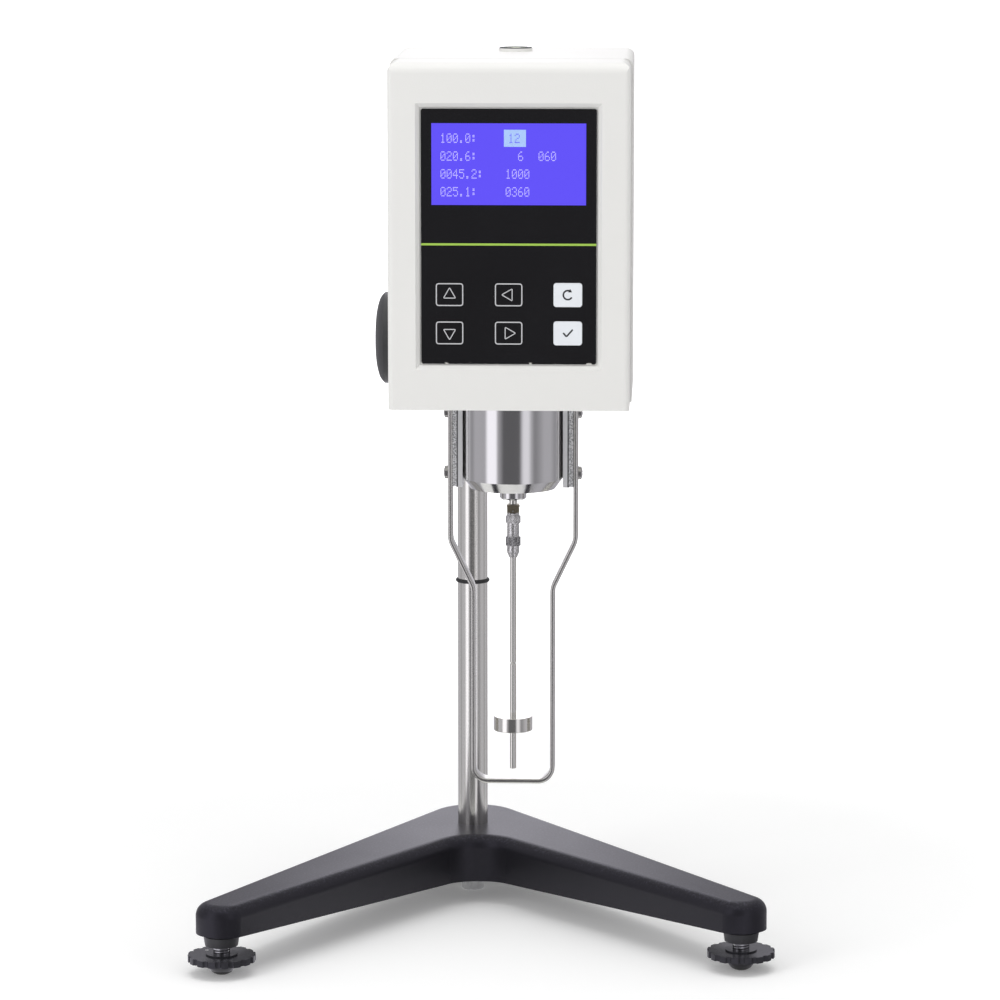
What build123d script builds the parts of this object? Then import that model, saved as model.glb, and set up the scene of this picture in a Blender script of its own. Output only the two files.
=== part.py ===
"""Rotational viscometer on a V-based stand, in millimetres.

The origin is on the column's axis, level with the table. +Z is up, and the display faces -Y.
"""
from build123d import *
from math import acos, cos, pi, radians, sin, sqrt, tan
import os

os.makedirs("parts", exist_ok=True)

# ---------------------------------------------------------------- driving dimensions
running_gap = 0.05          # radial clearance of a shaft that turns in its bore
seat_gap = 0.10             # clearance of a loose fit between fixed pieces
edge_chamfer = 0.8          # broken edge of turned pieces
cut_margin = 1.0            # how far a cut runs past the face that it starts from
through = 120.0             # depth of a cut that goes right through any piece

# Base casting
leg_length = 202.0          # column axis to each foot's axis
leg_half_angle = 37.35      # degrees, each leg from the V's centre line
base_turn = 4.15            # degrees, the V's centre line towards +X
base_top = 34.5
hub_underside = 11.5
tip_underside = 20.1
leg_tip_radius = 12.0
hub_front_radius = 7.0
hub_rear_radius = 25.0
hub_rear_offset = 20.0      # hub's rear circle, behind the column
crotch_radius = 18.0
base_edge_radius = 6.0
base_wall = 6.0
pocket_start = 0.30         # pocket's ends as parts of the leg's length
pocket_end = 0.80
flat_radius = 33.0          # level part of the underside, round the column
tip_rise = 0.55             # underside's height above the collars' seat, past the tips

# Column
column_diameter = 15.0
column_top = 390.0
column_seat = 18.0          # height of the column's lower end in the hub
cap_height = 8.0
cap_wall = 1.2
cap_crown = 2.0
cap_chamfer = 1.0
stop_ring_height = 159.6
stop_ring_section = 2.0
foot_bolt_diameter = 11.6
foot_bolt_neck_diameter = 10.8
foot_bolt_neck_length = 2.4
foot_bolt_shank_diameter = 8.0
foot_bolt_engagement = 20.0
foot_bolt_end_room = 2.0    # free depth past the bolt's end

# Rack and pinion
gear_module = 1.25
pinion_teeth = 14
pressure_angle = 20.0
rack_addendum = 1.0
tooth_backlash = 0.12
tip_room = 0.3              # tooth tips to the rack's roots
tooth_steps = 4             # points along a flank
rack_spaces_below = 20
rack_spaces_above = 18
pinion_width = 10.0
pinion_height = 280.5
pinion_shaft_diameter = 8.0
ring_wall = 2.2             # retaining ring at the shaft's end
ring_width = 1.5
ring_gap = 0.3

# Levelling feet
collar_top_diameter = 17.6
collar_foot_diameter = 15.7
collar_height = 6.1
collar_spigot_diameter = 14.0
collar_spigot_length = 7.0
collar_room = 0.4           # round the collar's rim, in the leg
collar_flare = 0.3          # rim's radius over the top of the tapered part
collar_groove_depth = 1.0
collar_groove_levels = (0.7, 0.9, 1.4, 1.6)   # below the collar's top
stud_bore_room = 0.5
stud_diameter = 8.0
stud_top = 28.0
stud_room = 5.0             # free height above the stud
wheel_diameter = 32.0
wheel_thickness = 3.0
wheel_underside = 6.4
wheel_scallops = 16
wheel_scallop_radius = 1.5
wheel_scallop_offset = 0.4  # scallops' centres outside the rim
wheel_hub_wall = 3.5
wheel_hub_height = 0.6
pad_diameter = 13.3
pad_height = 6.2
pad_flat_diameter = 5.0
pad_rim_height = 1.2
pad_bulge = (0.42, 0.34)    # middle of the side's arc, as parts of the diameter and height
pad_socket_diameter = 5.1
pad_socket_floor = 2.0
pad_floor_gap = 0.1

# Carriage
carriage_bottom = 252.0
carriage_top = 320.0
carriage_boss_diameter = 30.0
carriage_chamfer = 1.0
column_room = 0.4           # radial, between the bushes
bush_wall = 1.5
bush_length = 12.0
gearbox_wall = 3.0
gearbox_side_wall = 7.0
gear_room = 0.4             # round the pinion's tips
gear_side_room = 0.3
shaft_boss_wall = 3.5
shaft_boss_length = 10.0
shaft_end_length = 2.5      # shaft past the gearbox, on the ring's side
web_height = 20.0
arm_rear_y = 8.0            # rod boss and its web, front to rear
arm_depth = 29.5
ear_offset = 4.5            # clamp screw's axis past the rod boss
ear_width = 16.0
ear_inset = 4.0
tension_screw_height = 296.0
tension_screw_diameter = 5.0
tension_knob_diameter = 12.0
tension_knob_length = 8.0
tension_knob_sides = 12
tension_knob_gap = 1.0
tension_tip_gap = 0.1
clamp_screw_diameter = 5.0
clamp_screw_y = -6.0
clamp_screw_bottom = 11.0   # shank's end below the rod's axis
clamp_head_seat = 10.0      # head's underside above the rod's axis
clamp_head_radius = 4.25
clamp_socket_radius = 2.25
clamp_bore_half = 12.0
clamp_slit = 1.5
knob_diameter = 46.0
knob_apex_x = -49.0
knob_dome = 4.5
knob_width = 9.0
knob_hub_diameter = 18.0
knob_chamfer = 1.5
knob_cover = 1.0            # thickness over the shaft's end
knob_gap = 0.3              # knob's hub to the shaft boss
knob_flat = 0.4             # flat middle, as a part of the radius
knob_turn = (0.36, 0.83)    # where the crown meets the rim's round, parts of dome and radius

# Head
head_x = 23.5               # drive's axis and the casing's middle
head_width = 112.6
rear_step = 0.8             # rear shell's sides stand outside the front shell's
head_front_y = -143.8
head_depth = 120.0
head_bottom = 264.8
head_front_top = 426.3
head_rear_top = 427.8
shell_wall = 3.0
front_wall = 5.0
cavity_corner = 4.0
cavity_headroom = 3.0       # extra thickness of the sloping top
seam_y = -112.0
seam_groove = 1.0
seam_inset = 1.0            # gasket's edge inside the front shell's
seam_corner = 4.0
front_corner_radius = 4.5
rear_corner_radius = 3.5
brow_radius = 5.0
upright_radius = 2.5
rear_upright_radius = 5.0
rod_diameter = 12.0
rod_height = 300.0
rod_rear_y = 12.0
rod_flange_diameter = 28.0
rod_flange_thickness = 5.0
rod_flange_room = 1.2       # flange to the rear wall
rod_chamfer = 1.0
rod_hole_room = 0.5
rod_boss_diameter = 26.0

# Display panel
panel_width = 81.4
panel_height = 118.6
panel_bottom = 286.5
panel_thickness = 1.0
panel_corner = 1.0
recess_depth = 2.5
recess_margin = 0.6
recess_bevel = 2.0
window_width = 71.6
window_height = 37.8
window_centre_z = 379.5
window_margin = 1.0         # front wall's opening round the window
key_width = 13.3
key_height = 11.2
key_corner = 1.4
key_pitch_x = 27.5
key_rows_z = (318.9, 301.0)
key_margin = 2.0            # front wall's opening round the keys
key_thickness = 1.0
key_proud = 0.1
key_travel = 0.4
key_gap = 0.1
key_stem_diameter = 3.0
key_stem_length = 1.5

# Boards inside the head
board_thickness = 1.6
key_board_margin = 5.0
dome_radius = 3.0           # dome switches behind the keys
dome_gap = 0.1
lcd_glass_depth = 1.5
board_standoff = 5.0        # main board, off the left wall
board_boss_radius = 3.0
board_boss_y = (-96.0, -42.0)
board_boss_z = (296.0, 392.0)
board_margin = 5.0
chip_places = ((-80.0, 350.0), (-60.0, 372.0), (-62.0, 325.0))
chip_size = 14.0
chip_height = 2.5
capacitor_places = ((-85.0, 310.0), (-85.0, 322.0))
capacitor_radius = 4.0
capacitor_height = 10.0
lcd_frame_width = 80.0
lcd_frame_height = 46.0
lcd_frame_depth = 8.0
lcd_board_width = 93.0
lcd_board_height = 58.0

# Level on the head
level_y = -52.0
level_diameter = 16.0
level_height = 4.0          # vial's depth below the level's seat
level_rim_height = 2.7
level_sink = 0.8            # seat below the casing's top
level_chamfer = 0.4
vial_diameter = 12.0
vial_inset = 0.2            # vial's top below the rim
vial_room = 12.0

# Power inlet and switch on the rear wall
inlet_offset = 36.0         # from the casing's middle
inlet_z = 284.0
inlet_diameter = 11.0
inlet_flange = 1.5          # flange's overhang
inlet_flange_thickness = 2.0
inlet_length = 14.0
inlet_socket_depth = 11.0
inlet_bore = 6.4
inlet_pin = 2.1
switch_offset = -34.0       # from the casing's middle
switch_z = 284.0
switch_width = 15.0
switch_height = 21.0
switch_bezel = 1.5
switch_bezel_thickness = 1.6
switch_length = 15.0
switch_well = 7.0
rocker_width = 12.0
rocker_height = 17.6
rocker_end_room = 0.3
rocker_pin = 2.0
rocker_pivot_depth = 2.2    # pivot inside the rear face
rocker_depth = 2.2          # back face behind the pivot
rocker_back_half = 3.0
rocker_ridge = 3.2          # middle of the face, outside the pivot
rocker_pressed = (1.2, 2.4, 0.2)        # lower end: two depths past the pivot, lip
rocker_raised = (5.6, 1.8, 2.2, 0.1)    # upper end: outer depth and drop, inner depth and drop
shell_screw_radius = 1.6
shell_screw_head_radius = 3.2
shell_screw_head_height = 1.8
shell_screw_reach = 4.0     # past the wall
shell_screw_side = 10.0     # from the casing's sides
shell_screw_bottom = 12.0
shell_screw_top = 16.0

# Drive
drive_y = -83.8
housing_diameter = 48.0
housing_bottom = 219.6
housing_chamfer_height = 4.9
housing_chamfer_width = 3.5
housing_wall = 3.0
housing_floor = 4.0
chassis_thickness = 4.0
chassis_front = 16.0        # chassis ahead of the seam
chassis_upright = (44.0, 56.0, 5.0)   # width, height and thickness behind the rod's flange
hub_diameter = 12.9
hub_bottom = 214.0
hub_spigot_diameter = 9.0
hub_floor = 1.8             # spigot's height, under the bearing
hub_room = 0.4              # round the measuring shaft
measuring_shaft_diameter = 3.9
shaft_shoulder_z = 211.55
pivot_diameter = 2.0
motor_size = 42.0
motor_height = 38.0
motor_plate_z = 302.0
motor_plate_thickness = 3.0
motor_plate_size = 60.0
motor_corner = 5.0
motor_shaft_diameter = 5.0
motor_shaft_end_room = 0.5
post_diameter = 7.0
post_offset = 24.0
drive_disc_z = 276.0
drive_disc_diameter = 38.0
drive_disc_thickness = 2.0
drive_hub_diameter = 12.0
drive_hub_height = 14.0
drive_hub_floor = 2.0       # over the disc, under the motor's shaft
spring_stud_radius = 1.2
spring_stud_gap = 1.2       # stud's axis outside the spring
spring_z = 268.0
spring_height = 1.6
spring_thickness = 0.35
spring_turns = 4.5
spring_steps = 12           # points per turn
spring_outer_radius = 14.0
spring_inner_radius = 4.2
spring_collet_lap = 0.2
pivot_gap = 0.3             # pivot's end to the drive disc's top
shaft_over_spring = 2.0
angle_disc_z = 252.0
angle_disc_diameter = 32.0
angle_disc_thickness = 0.8
angle_hub_half = 3.0        # hub's reach above and below the disc's underside
angle_hub_wall = 2.0
angle_slots = 12
angle_slot_length = 3.0
angle_slot_width = 1.2
angle_slot_inset = 3.0

# Swivel and rotor
block_size = 5.8
block_chamfer = 0.5
block_bottom = 207.5
block_top = 211.3
upper_pin_z = 210.45
lower_pin_z = 208.35
pin_diameter = 0.8
tongue_thickness = 1.4
tongue_width = 3.0
tongue_room = 0.3
tongue_lap = 0.35           # shaft's tongue past its pin
rotor_tongue_lap = 0.3
slot_room = 0.2             # beyond a tongue's end
pin_proud = 0.3
pin_bore_half = 2.0
rotor_shaft_diameter = 3.0
rotor_bottom = 81.2
rotor_disc_diameter = 18.72
rotor_disc_bottom = 100.5
rotor_disc_height = 6.86
rotor_edge = 0.15           # disc's broken edges
rotor_end_chamfer = 0.2
rotor_mark_z = 133.4
rotor_mark_depth = 0.25
rotor_mark_half = 0.5
sleeve_diameter = 6.0
sleeve_ring_diameter = 7.2
sleeve_top = 207.1
sleeve_bottom = 185.4
sleeve_ring_z = (202.4, 205.8)
sleeve_knurl_z = (191.3, 195.7)
sleeve_cone = 2.6
sleeve_nose = 0.4           # cone's end outside the shaft

# Guard and its brackets
strap_thickness = 2.3
strap_width = 9.5
strap_upper_x = 30.2
strap_lower_x = 19.2
strap_top = 261.0
strap_shoulder_z = 194.0
strap_waist_z = 171.0
strap_bottom = 74.5
strap_bend_radius = 10.0
strap_corner_radius = 7.0
bracket_bottom = 220.6
bracket_width = 14.0
bracket_rib = 3.0
bracket_groove_depth = 2.0
bracket_screw_depth = 4.0
guard_screw_z = (226.8, 256.5)
guard_screw_head_diameter = 6.4
guard_screw_head_height = 2.2
guard_screw_head_taper = 18.0
guard_screw_diameter = 3.0

# ---------------------------------------------------------------- derived sizes
column_radius = column_diameter / 2
pitch_radius = gear_module * pinion_teeth / 2
rack_pitch = pi * gear_module
rack_pitch_y = column_radius - rack_addendum
pinion_tip_radius = pitch_radius + gear_module
pinion_y = rack_pitch_y + pitch_radius + running_gap
rack_root_y = pinion_y - pinion_tip_radius - tip_room
pinion_root_radius = pitch_radius - 1.25 * gear_module
head_left = head_x - head_width / 2
head_right = head_x + head_width / 2
head_back_y = head_front_y + head_depth
recess_floor_y = head_front_y + recess_depth
front_wall_y = head_front_y + front_wall
panel_centre_z = panel_bottom + panel_height / 2
chassis_z = head_bottom + shell_wall
cavity_width = head_width - 2 * shell_wall
cavity_height = head_rear_top - head_bottom - 2 * shell_wall - cavity_headroom
bracket_inner_x = housing_diameter / 2 + seat_gap
bracket_outer_x = strap_upper_x - strap_thickness / 2
rocker_pivot_y = head_back_y - rocker_pivot_depth
key_columns_x = [head_x + step * key_pitch_x for step in (-1, 0, 1)]
keys_width = 2 * key_pitch_x + key_width
keys_height = key_rows_z[0] - key_rows_z[1] + key_height
keys_centre_z = sum(key_rows_z) / 2
collar_top = tip_underside
collar_bottom = collar_top - collar_height
wheel_top = wheel_underside + wheel_thickness


def foot_axis(side):
    """Plan position of a foot: side is -1 for the left leg and 1 for the right one."""
    angle = radians(base_turn + side * leg_half_angle)
    return leg_length * sin(angle), -leg_length * cos(angle)


def drive_plane(z):
    """Level plane centred on the drive axis."""
    return Plane(origin=(head_x, drive_y, z), z_dir=(0, 0, 1))


def turned_piece(points, axis_x=0.0, axis_y=0.0):
    """Solid of revolution about a vertical axis, from (radius, height) points."""
    with BuildPart(mode=Mode.PRIVATE) as turned:
        with BuildSketch(Plane(origin=(axis_x, axis_y, 0), x_dir=(1, 0, 0), z_dir=(0, -1, 0))):
            Polygon(*points, align=None)
        revolve(axis=Axis((axis_x, axis_y, 0), (0, 0, 1)))
    return turned.part


# ---------------------------------------------------------------- stand
with BuildPart() as base_casting:
    with BuildSketch(Plane.XY.offset(hub_underside)) as base_plan:
        for side in (-1, 1):
            with BuildSketch(mode=Mode.PRIVATE) as leg_plan:
                with Locations(foot_axis(side)):
                    Circle(leg_tip_radius)
                with Locations((0, 0)):
                    Circle(hub_front_radius)
                with Locations((0, hub_rear_offset)):
                    Circle(hub_rear_radius)
                make_hull()
            add(leg_plan.sketch)
        crotch = base_plan.vertices().sort_by_distance((0, -hub_front_radius))[0]
        fillet(crotch, radius=crotch_radius)
    extrude(amount=base_top - hub_underside)
    fillet(base_casting.edges().group_by(Axis.Z)[-1], radius=base_edge_radius)
    # The underside rises from the hub towards the feet, as a shallow cone.
    far = leg_length + 2 * leg_tip_radius
    with BuildSketch(Plane.XZ):
        Polygon((flat_radius, hub_underside), (far, tip_underside + tip_rise),
                (far, hub_underside - cut_margin), (flat_radius, hub_underside - cut_margin),
                align=None)
    revolve(axis=Axis.Z, mode=Mode.SUBTRACT)
    # Each leg is cored out from below.
    for side in (-1, 1):
        foot_x, foot_y = foot_axis(side)
        with BuildSketch(Plane.XY.offset(hub_underside - cut_margin)):
            with Locations((foot_x * pocket_end, foot_y * pocket_end)):
                Circle(leg_tip_radius - base_wall)
            with Locations((foot_x * pocket_start, foot_y * pocket_start)):
                Circle(leg_tip_radius - base_wall / 2)
            make_hull()
        extrude(amount=base_top - base_wall - hub_underside + cut_margin, mode=Mode.SUBTRACT)
        with BuildSketch(Plane.XY.offset(hub_underside)):
            with Locations((foot_x, foot_y)):
                Circle(collar_top_diameter / 2 + collar_room)
        extrude(amount=collar_top - hub_underside, mode=Mode.SUBTRACT)
        with BuildSketch(Plane.XY.offset(collar_top)):
            with Locations((foot_x, foot_y)):
                Circle(collar_spigot_diameter / 2)
        extrude(amount=collar_spigot_length, mode=Mode.SUBTRACT)
        with BuildSketch(Plane.XY.offset(collar_top)):
            with Locations((foot_x, foot_y)):
                Circle(stud_diameter / 2 + stud_bore_room)
        extrude(amount=stud_top + stud_room - collar_top, mode=Mode.SUBTRACT)
    # Column socket, and the through hole for its bolt.
    with BuildSketch(Plane.XY.offset(column_seat)):
        Circle(column_radius)
    extrude(amount=base_top - column_seat, mode=Mode.SUBTRACT)
    with BuildSketch(Plane.XY.offset(hub_underside)):
        Circle(foot_bolt_shank_diameter / 2 + seat_gap)
    extrude(amount=column_seat - hub_underside, mode=Mode.SUBTRACT)
base_casting.part.label = "base_casting"
export_step(base_casting.part, "parts/base_casting.step")

with BuildPart() as column:
    with BuildSketch(Plane.XY.offset(column_seat)):
        Circle(column_radius)
    extrude(amount=column_top - column_seat)
    chamfer(column.edges().group_by(Axis.Z)[-1], length=edge_chamfer)
    with BuildSketch(Plane.XY.offset(column_seat)):
        Circle(foot_bolt_shank_diameter / 2)
    extrude(amount=foot_bolt_engagement, mode=Mode.SUBTRACT)
    with BuildSketch(Plane.XZ):
        with Locations((column_radius, stop_ring_height)):
            Circle(stop_ring_section / 2)
    revolve(axis=Axis.Z, mode=Mode.SUBTRACT)
    # Rack spaces, milled across the rear of the column.
    space_half = rack_pitch / 4 + tooth_backlash / 2
    flank = tan(radians(pressure_angle))
    space_root = space_half - (rack_pitch_y - rack_root_y) * flank
    mouth_y = column_radius + cut_margin
    space_mouth = space_half + (mouth_y - rack_pitch_y) * flank
    with BuildSketch(Plane.YZ):
        for index in range(-rack_spaces_below, rack_spaces_above + 1):
            z = pinion_height + index * rack_pitch
            Polygon((rack_root_y, z - space_root), (mouth_y, z - space_mouth),
                    (mouth_y, z + space_mouth), (rack_root_y, z + space_root), align=None)
    extrude(amount=mouth_y, both=True, mode=Mode.SUBTRACT)
column.part.label = "column"
export_step(column.part, "parts/column.step")

with BuildPart() as column_foot_bolt:
    with BuildSketch(Plane.XY):
        Circle(foot_bolt_diameter / 2)
    extrude(amount=hub_underside - foot_bolt_neck_length)
    chamfer(column_foot_bolt.edges().group_by(Axis.Z)[0], length=edge_chamfer)
    with BuildSketch(Plane.XY.offset(hub_underside - foot_bolt_neck_length)):
        Circle(foot_bolt_neck_diameter / 2)
    extrude(amount=foot_bolt_neck_length)
    with BuildSketch(Plane.XY.offset(hub_underside)):
        Circle(foot_bolt_shank_diameter / 2)
    extrude(amount=column_seat - hub_underside + foot_bolt_engagement - foot_bolt_end_room)
column_foot_bolt.part.label = "column_foot_bolt"
export_step(column_foot_bolt.part, "parts/column_foot_bolt.step")

with BuildPart() as column_cap:
    with BuildSketch(Plane.XY.offset(column_top - cap_height)):
        Circle(column_radius + cap_wall)
    extrude(amount=cap_height + cap_crown)
    chamfer(column_cap.edges().group_by(Axis.Z)[-1], length=cap_chamfer)
    with BuildSketch(Plane.XY.offset(column_top - cap_height)):
        Circle(column_radius)
    extrude(amount=cap_height, mode=Mode.SUBTRACT)
column_cap.part.label = "column_cap"
export_step(column_cap.part, "parts/column_cap.step")

with BuildPart() as stop_ring:
    with BuildSketch(Plane.XZ):
        with Locations((column_radius, stop_ring_height)):
            Circle(stop_ring_section / 2)
    revolve(axis=Axis.Z)
stop_ring.part.label = "stop_ring"
export_step(stop_ring.part, "parts/stop_ring.step")

# ---------------------------------------------------------------- levelling feet
with BuildPart() as foot_collars:
    for side in (-1, 1):
        foot_x, foot_y = foot_axis(side)
        bore = stud_diameter / 2 + running_gap
        spigot = collar_spigot_diameter / 2
        top = collar_top_diameter / 2
        groove = top - collar_groove_depth
        levels = [collar_top - level for level in collar_groove_levels]
        add(turned_piece([(bore, collar_bottom), (collar_foot_diameter / 2, collar_bottom),
                          (top - collar_flare, levels[3]), (groove, levels[2]),
                          (groove, levels[1]), (top, levels[0]),
                          (top, collar_top), (spigot, collar_top),
                          (spigot, collar_top + collar_spigot_length),
                          (bore, collar_top + collar_spigot_length)], foot_x, foot_y))
foot_collars.part.label = "foot_collars"
export_step(foot_collars.part, "parts/foot_collars.step")

for side, name in ((-1, "left"), (1, "right")):
    foot_x, foot_y = foot_axis(side)
    stud_radius = stud_diameter / 2
    spigot_radius = pad_socket_diameter / 2 - running_gap
    stud_bottom = pad_socket_floor + pad_floor_gap
    pad_radius = pad_diameter / 2
    socket_radius = pad_socket_diameter / 2
    pad_shoulder = pad_height - pad_rim_height

    with BuildPart() as foot_stud:
        add(turned_piece([(0, stud_bottom), (spigot_radius, stud_bottom),
                          (spigot_radius, wheel_underside), (stud_radius, wheel_underside),
                          (stud_radius, stud_top - edge_chamfer),
                          (stud_radius - edge_chamfer, stud_top), (0, stud_top)],
                         foot_x, foot_y))
    foot_stud.part.label = f"{name}_foot_stud"
    export_step(foot_stud.part, f"parts/{name}_foot_stud.step")

    with BuildPart() as foot_wheel:
        with BuildSketch(Plane(origin=(foot_x, foot_y, wheel_underside))):
            Circle(wheel_diameter / 2)
            with PolarLocations(wheel_diameter / 2 + wheel_scallop_offset, wheel_scallops):
                Circle(wheel_scallop_radius, mode=Mode.SUBTRACT)
            Circle(stud_radius, mode=Mode.SUBTRACT)
        extrude(amount=wheel_thickness)
        with BuildSketch(Plane(origin=(foot_x, foot_y, wheel_top))):
            Circle(stud_radius + wheel_hub_wall)
            Circle(stud_radius, mode=Mode.SUBTRACT)
        extrude(amount=wheel_hub_height)
    foot_wheel.part.label = f"{name}_foot_wheel"
    export_step(foot_wheel.part, f"parts/{name}_foot_wheel.step")

    with BuildPart() as foot_pad:
        with BuildSketch(Plane(origin=(foot_x, foot_y, 0), x_dir=(1, 0, 0), z_dir=(0, -1, 0))):
            with BuildLine():
                Line((0, 0), (pad_flat_diameter / 2, 0))
                ThreePointArc((pad_flat_diameter / 2, 0),
                              (pad_diameter * pad_bulge[0], pad_height * pad_bulge[1]),
                              (pad_radius, pad_shoulder))
                Polyline((pad_radius, pad_shoulder), (pad_radius, pad_height),
                         (socket_radius, pad_height), (socket_radius, pad_socket_floor),
                         (0, pad_socket_floor), (0, 0))
            make_face()
        revolve(axis=Axis((foot_x, foot_y, 0), (0, 0, 1)))
    foot_pad.part.label = f"{name}_foot_pad"
    export_step(foot_pad.part, f"parts/{name}_foot_pad.step")

# ---------------------------------------------------------------- carriage
gearbox_radius = pinion_tip_radius + gear_room + gearbox_wall
gearbox_half = pinion_width / 2 + gearbox_side_wall
bush_radius = column_radius + bush_wall
ear_x = head_x + rod_boss_diameter / 2 + ear_offset

with BuildPart() as carriage_block:
    with BuildSketch(Plane.XY.offset(carriage_bottom)):
        Circle(carriage_boss_diameter / 2)
    extrude(amount=carriage_top - carriage_bottom)
    # Gear housing behind the column, across it.
    with BuildSketch(Plane.YZ):
        with Locations((pinion_y, pinion_height)):
            Circle(gearbox_radius)
        with Locations((pinion_y / 2, pinion_height)):
            Rectangle(pinion_y, 2 * gearbox_radius)
    extrude(amount=gearbox_half, both=True)
    with BuildSketch(Plane.YZ.offset(-gearbox_half)):
        with Locations((pinion_y, pinion_height)):
            Circle(pinion_shaft_diameter / 2 + shaft_boss_wall)
    extrude(amount=-shaft_boss_length)
    # Boss and web for the head's rod.
    with BuildSketch(Plane.XZ.offset(-arm_rear_y)):
        with Locations((head_x, rod_height)):
            Circle(rod_boss_diameter / 2)
        with Locations((head_x / 2, rod_height)):
            Rectangle(head_x, web_height)
        with Locations((ear_x - ear_inset, rod_height)):
            Rectangle(ear_width, web_height)
    extrude(amount=arm_depth)
    chamfer(carriage_block.edges().group_by(Axis.Z)[-1], length=carriage_chamfer)
    # Bores: column, rod, gear space and shaft.
    with BuildSketch(Plane.XY.offset(carriage_bottom)):
        Circle(column_radius + column_room)
    extrude(amount=carriage_top - carriage_bottom, mode=Mode.SUBTRACT)
    for bush_z in (carriage_bottom, carriage_top - bush_length):
        with BuildSketch(Plane.XY.offset(bush_z)):
            Circle(bush_radius)
        extrude(amount=bush_length, mode=Mode.SUBTRACT)
    with BuildSketch(Plane.YZ):
        with Locations((pinion_y, pinion_height)):
            Circle(pinion_tip_radius + gear_room)
    extrude(amount=pinion_width / 2 + gear_side_room, both=True, mode=Mode.SUBTRACT)
    with BuildSketch(Plane.YZ):
        with Locations((pinion_y, pinion_height)):
            Circle(pinion_shaft_diameter / 2 + running_gap)
    extrude(amount=through, both=True, mode=Mode.SUBTRACT)
    with BuildSketch(Plane.XZ):
        with Locations((head_x, rod_height)):
            Circle(rod_diameter / 2 + running_gap)
    extrude(amount=through, both=True, mode=Mode.SUBTRACT)
    # Clamping slit and the screw through its ears.
    with BuildSketch(Plane.XZ):
        with Locations((ear_x, rod_height)):
            Rectangle(2 * (ear_x - head_x), clamp_slit)
    extrude(amount=through, both=True, mode=Mode.SUBTRACT)
    with BuildSketch(Plane.XY.offset(rod_height)):
        with Locations((ear_x, clamp_screw_y)):
            Circle(clamp_screw_diameter / 2 + running_gap)
    extrude(amount=clamp_bore_half, both=True, mode=Mode.SUBTRACT)
    # Tension screw.
    with BuildSketch(Plane.YZ):
        with Locations((0, tension_screw_height)):
            Circle(tension_screw_diameter / 2)
    extrude(amount=-carriage_boss_diameter, mode=Mode.SUBTRACT)
carriage_block.part.label = "carriage_block"
export_step(carriage_block.part, "parts/carriage_block.step")

with BuildPart() as column_bushes:
    for bush_z in (carriage_bottom, carriage_top - bush_length):
        with BuildSketch(Plane.XY.offset(bush_z)):
            Circle(bush_radius)
            Circle(column_radius + running_gap, mode=Mode.SUBTRACT)
        extrude(amount=bush_length)
column_bushes.part.label = "column_bushes"
export_step(column_bushes.part, "parts/column_bushes.step")

with BuildPart() as tension_screw:
    tip_x = -column_radius - tension_tip_gap
    grip_x = -carriage_boss_diameter / 2 - tension_knob_gap
    with BuildSketch(Plane.YZ.offset(tip_x)):
        with Locations((0, tension_screw_height)):
            Circle(tension_screw_diameter / 2)
    extrude(amount=grip_x - tip_x)
    with BuildSketch(Plane.YZ.offset(grip_x)):
        with Locations((0, tension_screw_height)):
            RegularPolygon(tension_knob_diameter / 2, tension_knob_sides)
    extrude(amount=-tension_knob_length)
tension_screw.part.label = "tension_screw"
export_step(tension_screw.part, "parts/tension_screw.step")

with BuildPart() as rod_clamp_screw:
    with BuildSketch(Plane.XY.offset(rod_height - clamp_screw_bottom)):
        with Locations((ear_x, clamp_screw_y)):
            Circle(clamp_screw_diameter / 2)
    extrude(amount=clamp_screw_bottom + clamp_head_seat)
    with BuildSketch(Plane.XY.offset(rod_height + clamp_head_seat)):
        with Locations((ear_x, clamp_screw_y)):
            Circle(clamp_head_radius)
            RegularPolygon(clamp_socket_radius, 6, mode=Mode.SUBTRACT)
    extrude(amount=clamp_screw_diameter)
rod_clamp_screw.part.label = "rod_clamp_screw"
export_step(rod_clamp_screw.part, "parts/rod_clamp_screw.step")


def tooth_half_angle(radius):
    """Half the angle that a pinion tooth spans at a radius, in radians (involute flanks)."""
    base_radius = pitch_radius * cos(radians(pressure_angle))
    reach = acos(min(1.0, base_radius / radius))
    pitch_reach = radians(pressure_angle)
    at_pitch = (rack_pitch / 2 - tooth_backlash) / (2 * pitch_radius)
    return at_pitch + (tan(pitch_reach) - pitch_reach) - (tan(reach) - reach)


def tooth_outline():
    """Corner points of the pinion tooth that points along +X of its sketch."""
    base_radius = pitch_radius * cos(radians(pressure_angle))
    rise = (pinion_tip_radius - base_radius) / tooth_steps
    radii = [base_radius + rise * step for step in range(tooth_steps + 1)]
    radii = [pinion_root_radius - tip_room] + radii
    upper = [(r * cos(tooth_half_angle(max(r, base_radius))),
              r * sin(tooth_half_angle(max(r, base_radius)))) for r in radii]
    return upper + [(x, -y) for x, y in reversed(upper)]


shaft_start_x = knob_apex_x + knob_dome + knob_cover
with BuildPart() as pinion_shaft:
    with BuildSketch(Plane.YZ.offset(shaft_start_x)):
        with Locations((pinion_y, pinion_height)):
            Circle(pinion_shaft_diameter / 2)
    extrude(amount=gearbox_half + shaft_end_length - shaft_start_x)
    with BuildSketch(Plane.YZ.offset(-pinion_width / 2)):
        with Locations((pinion_y, pinion_height)):
            Circle(pinion_root_radius)
        # A tooth points at the column, so the outlines start from -Y.
        with Locations((pinion_y, pinion_height)):
            with PolarLocations(0, pinion_teeth, start_angle=180):
                Polygon(*tooth_outline(), align=None)
    extrude(amount=pinion_width)
pinion_shaft.part.label = "pinion_shaft"
export_step(pinion_shaft.part, "parts/pinion_shaft.step")

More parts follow.
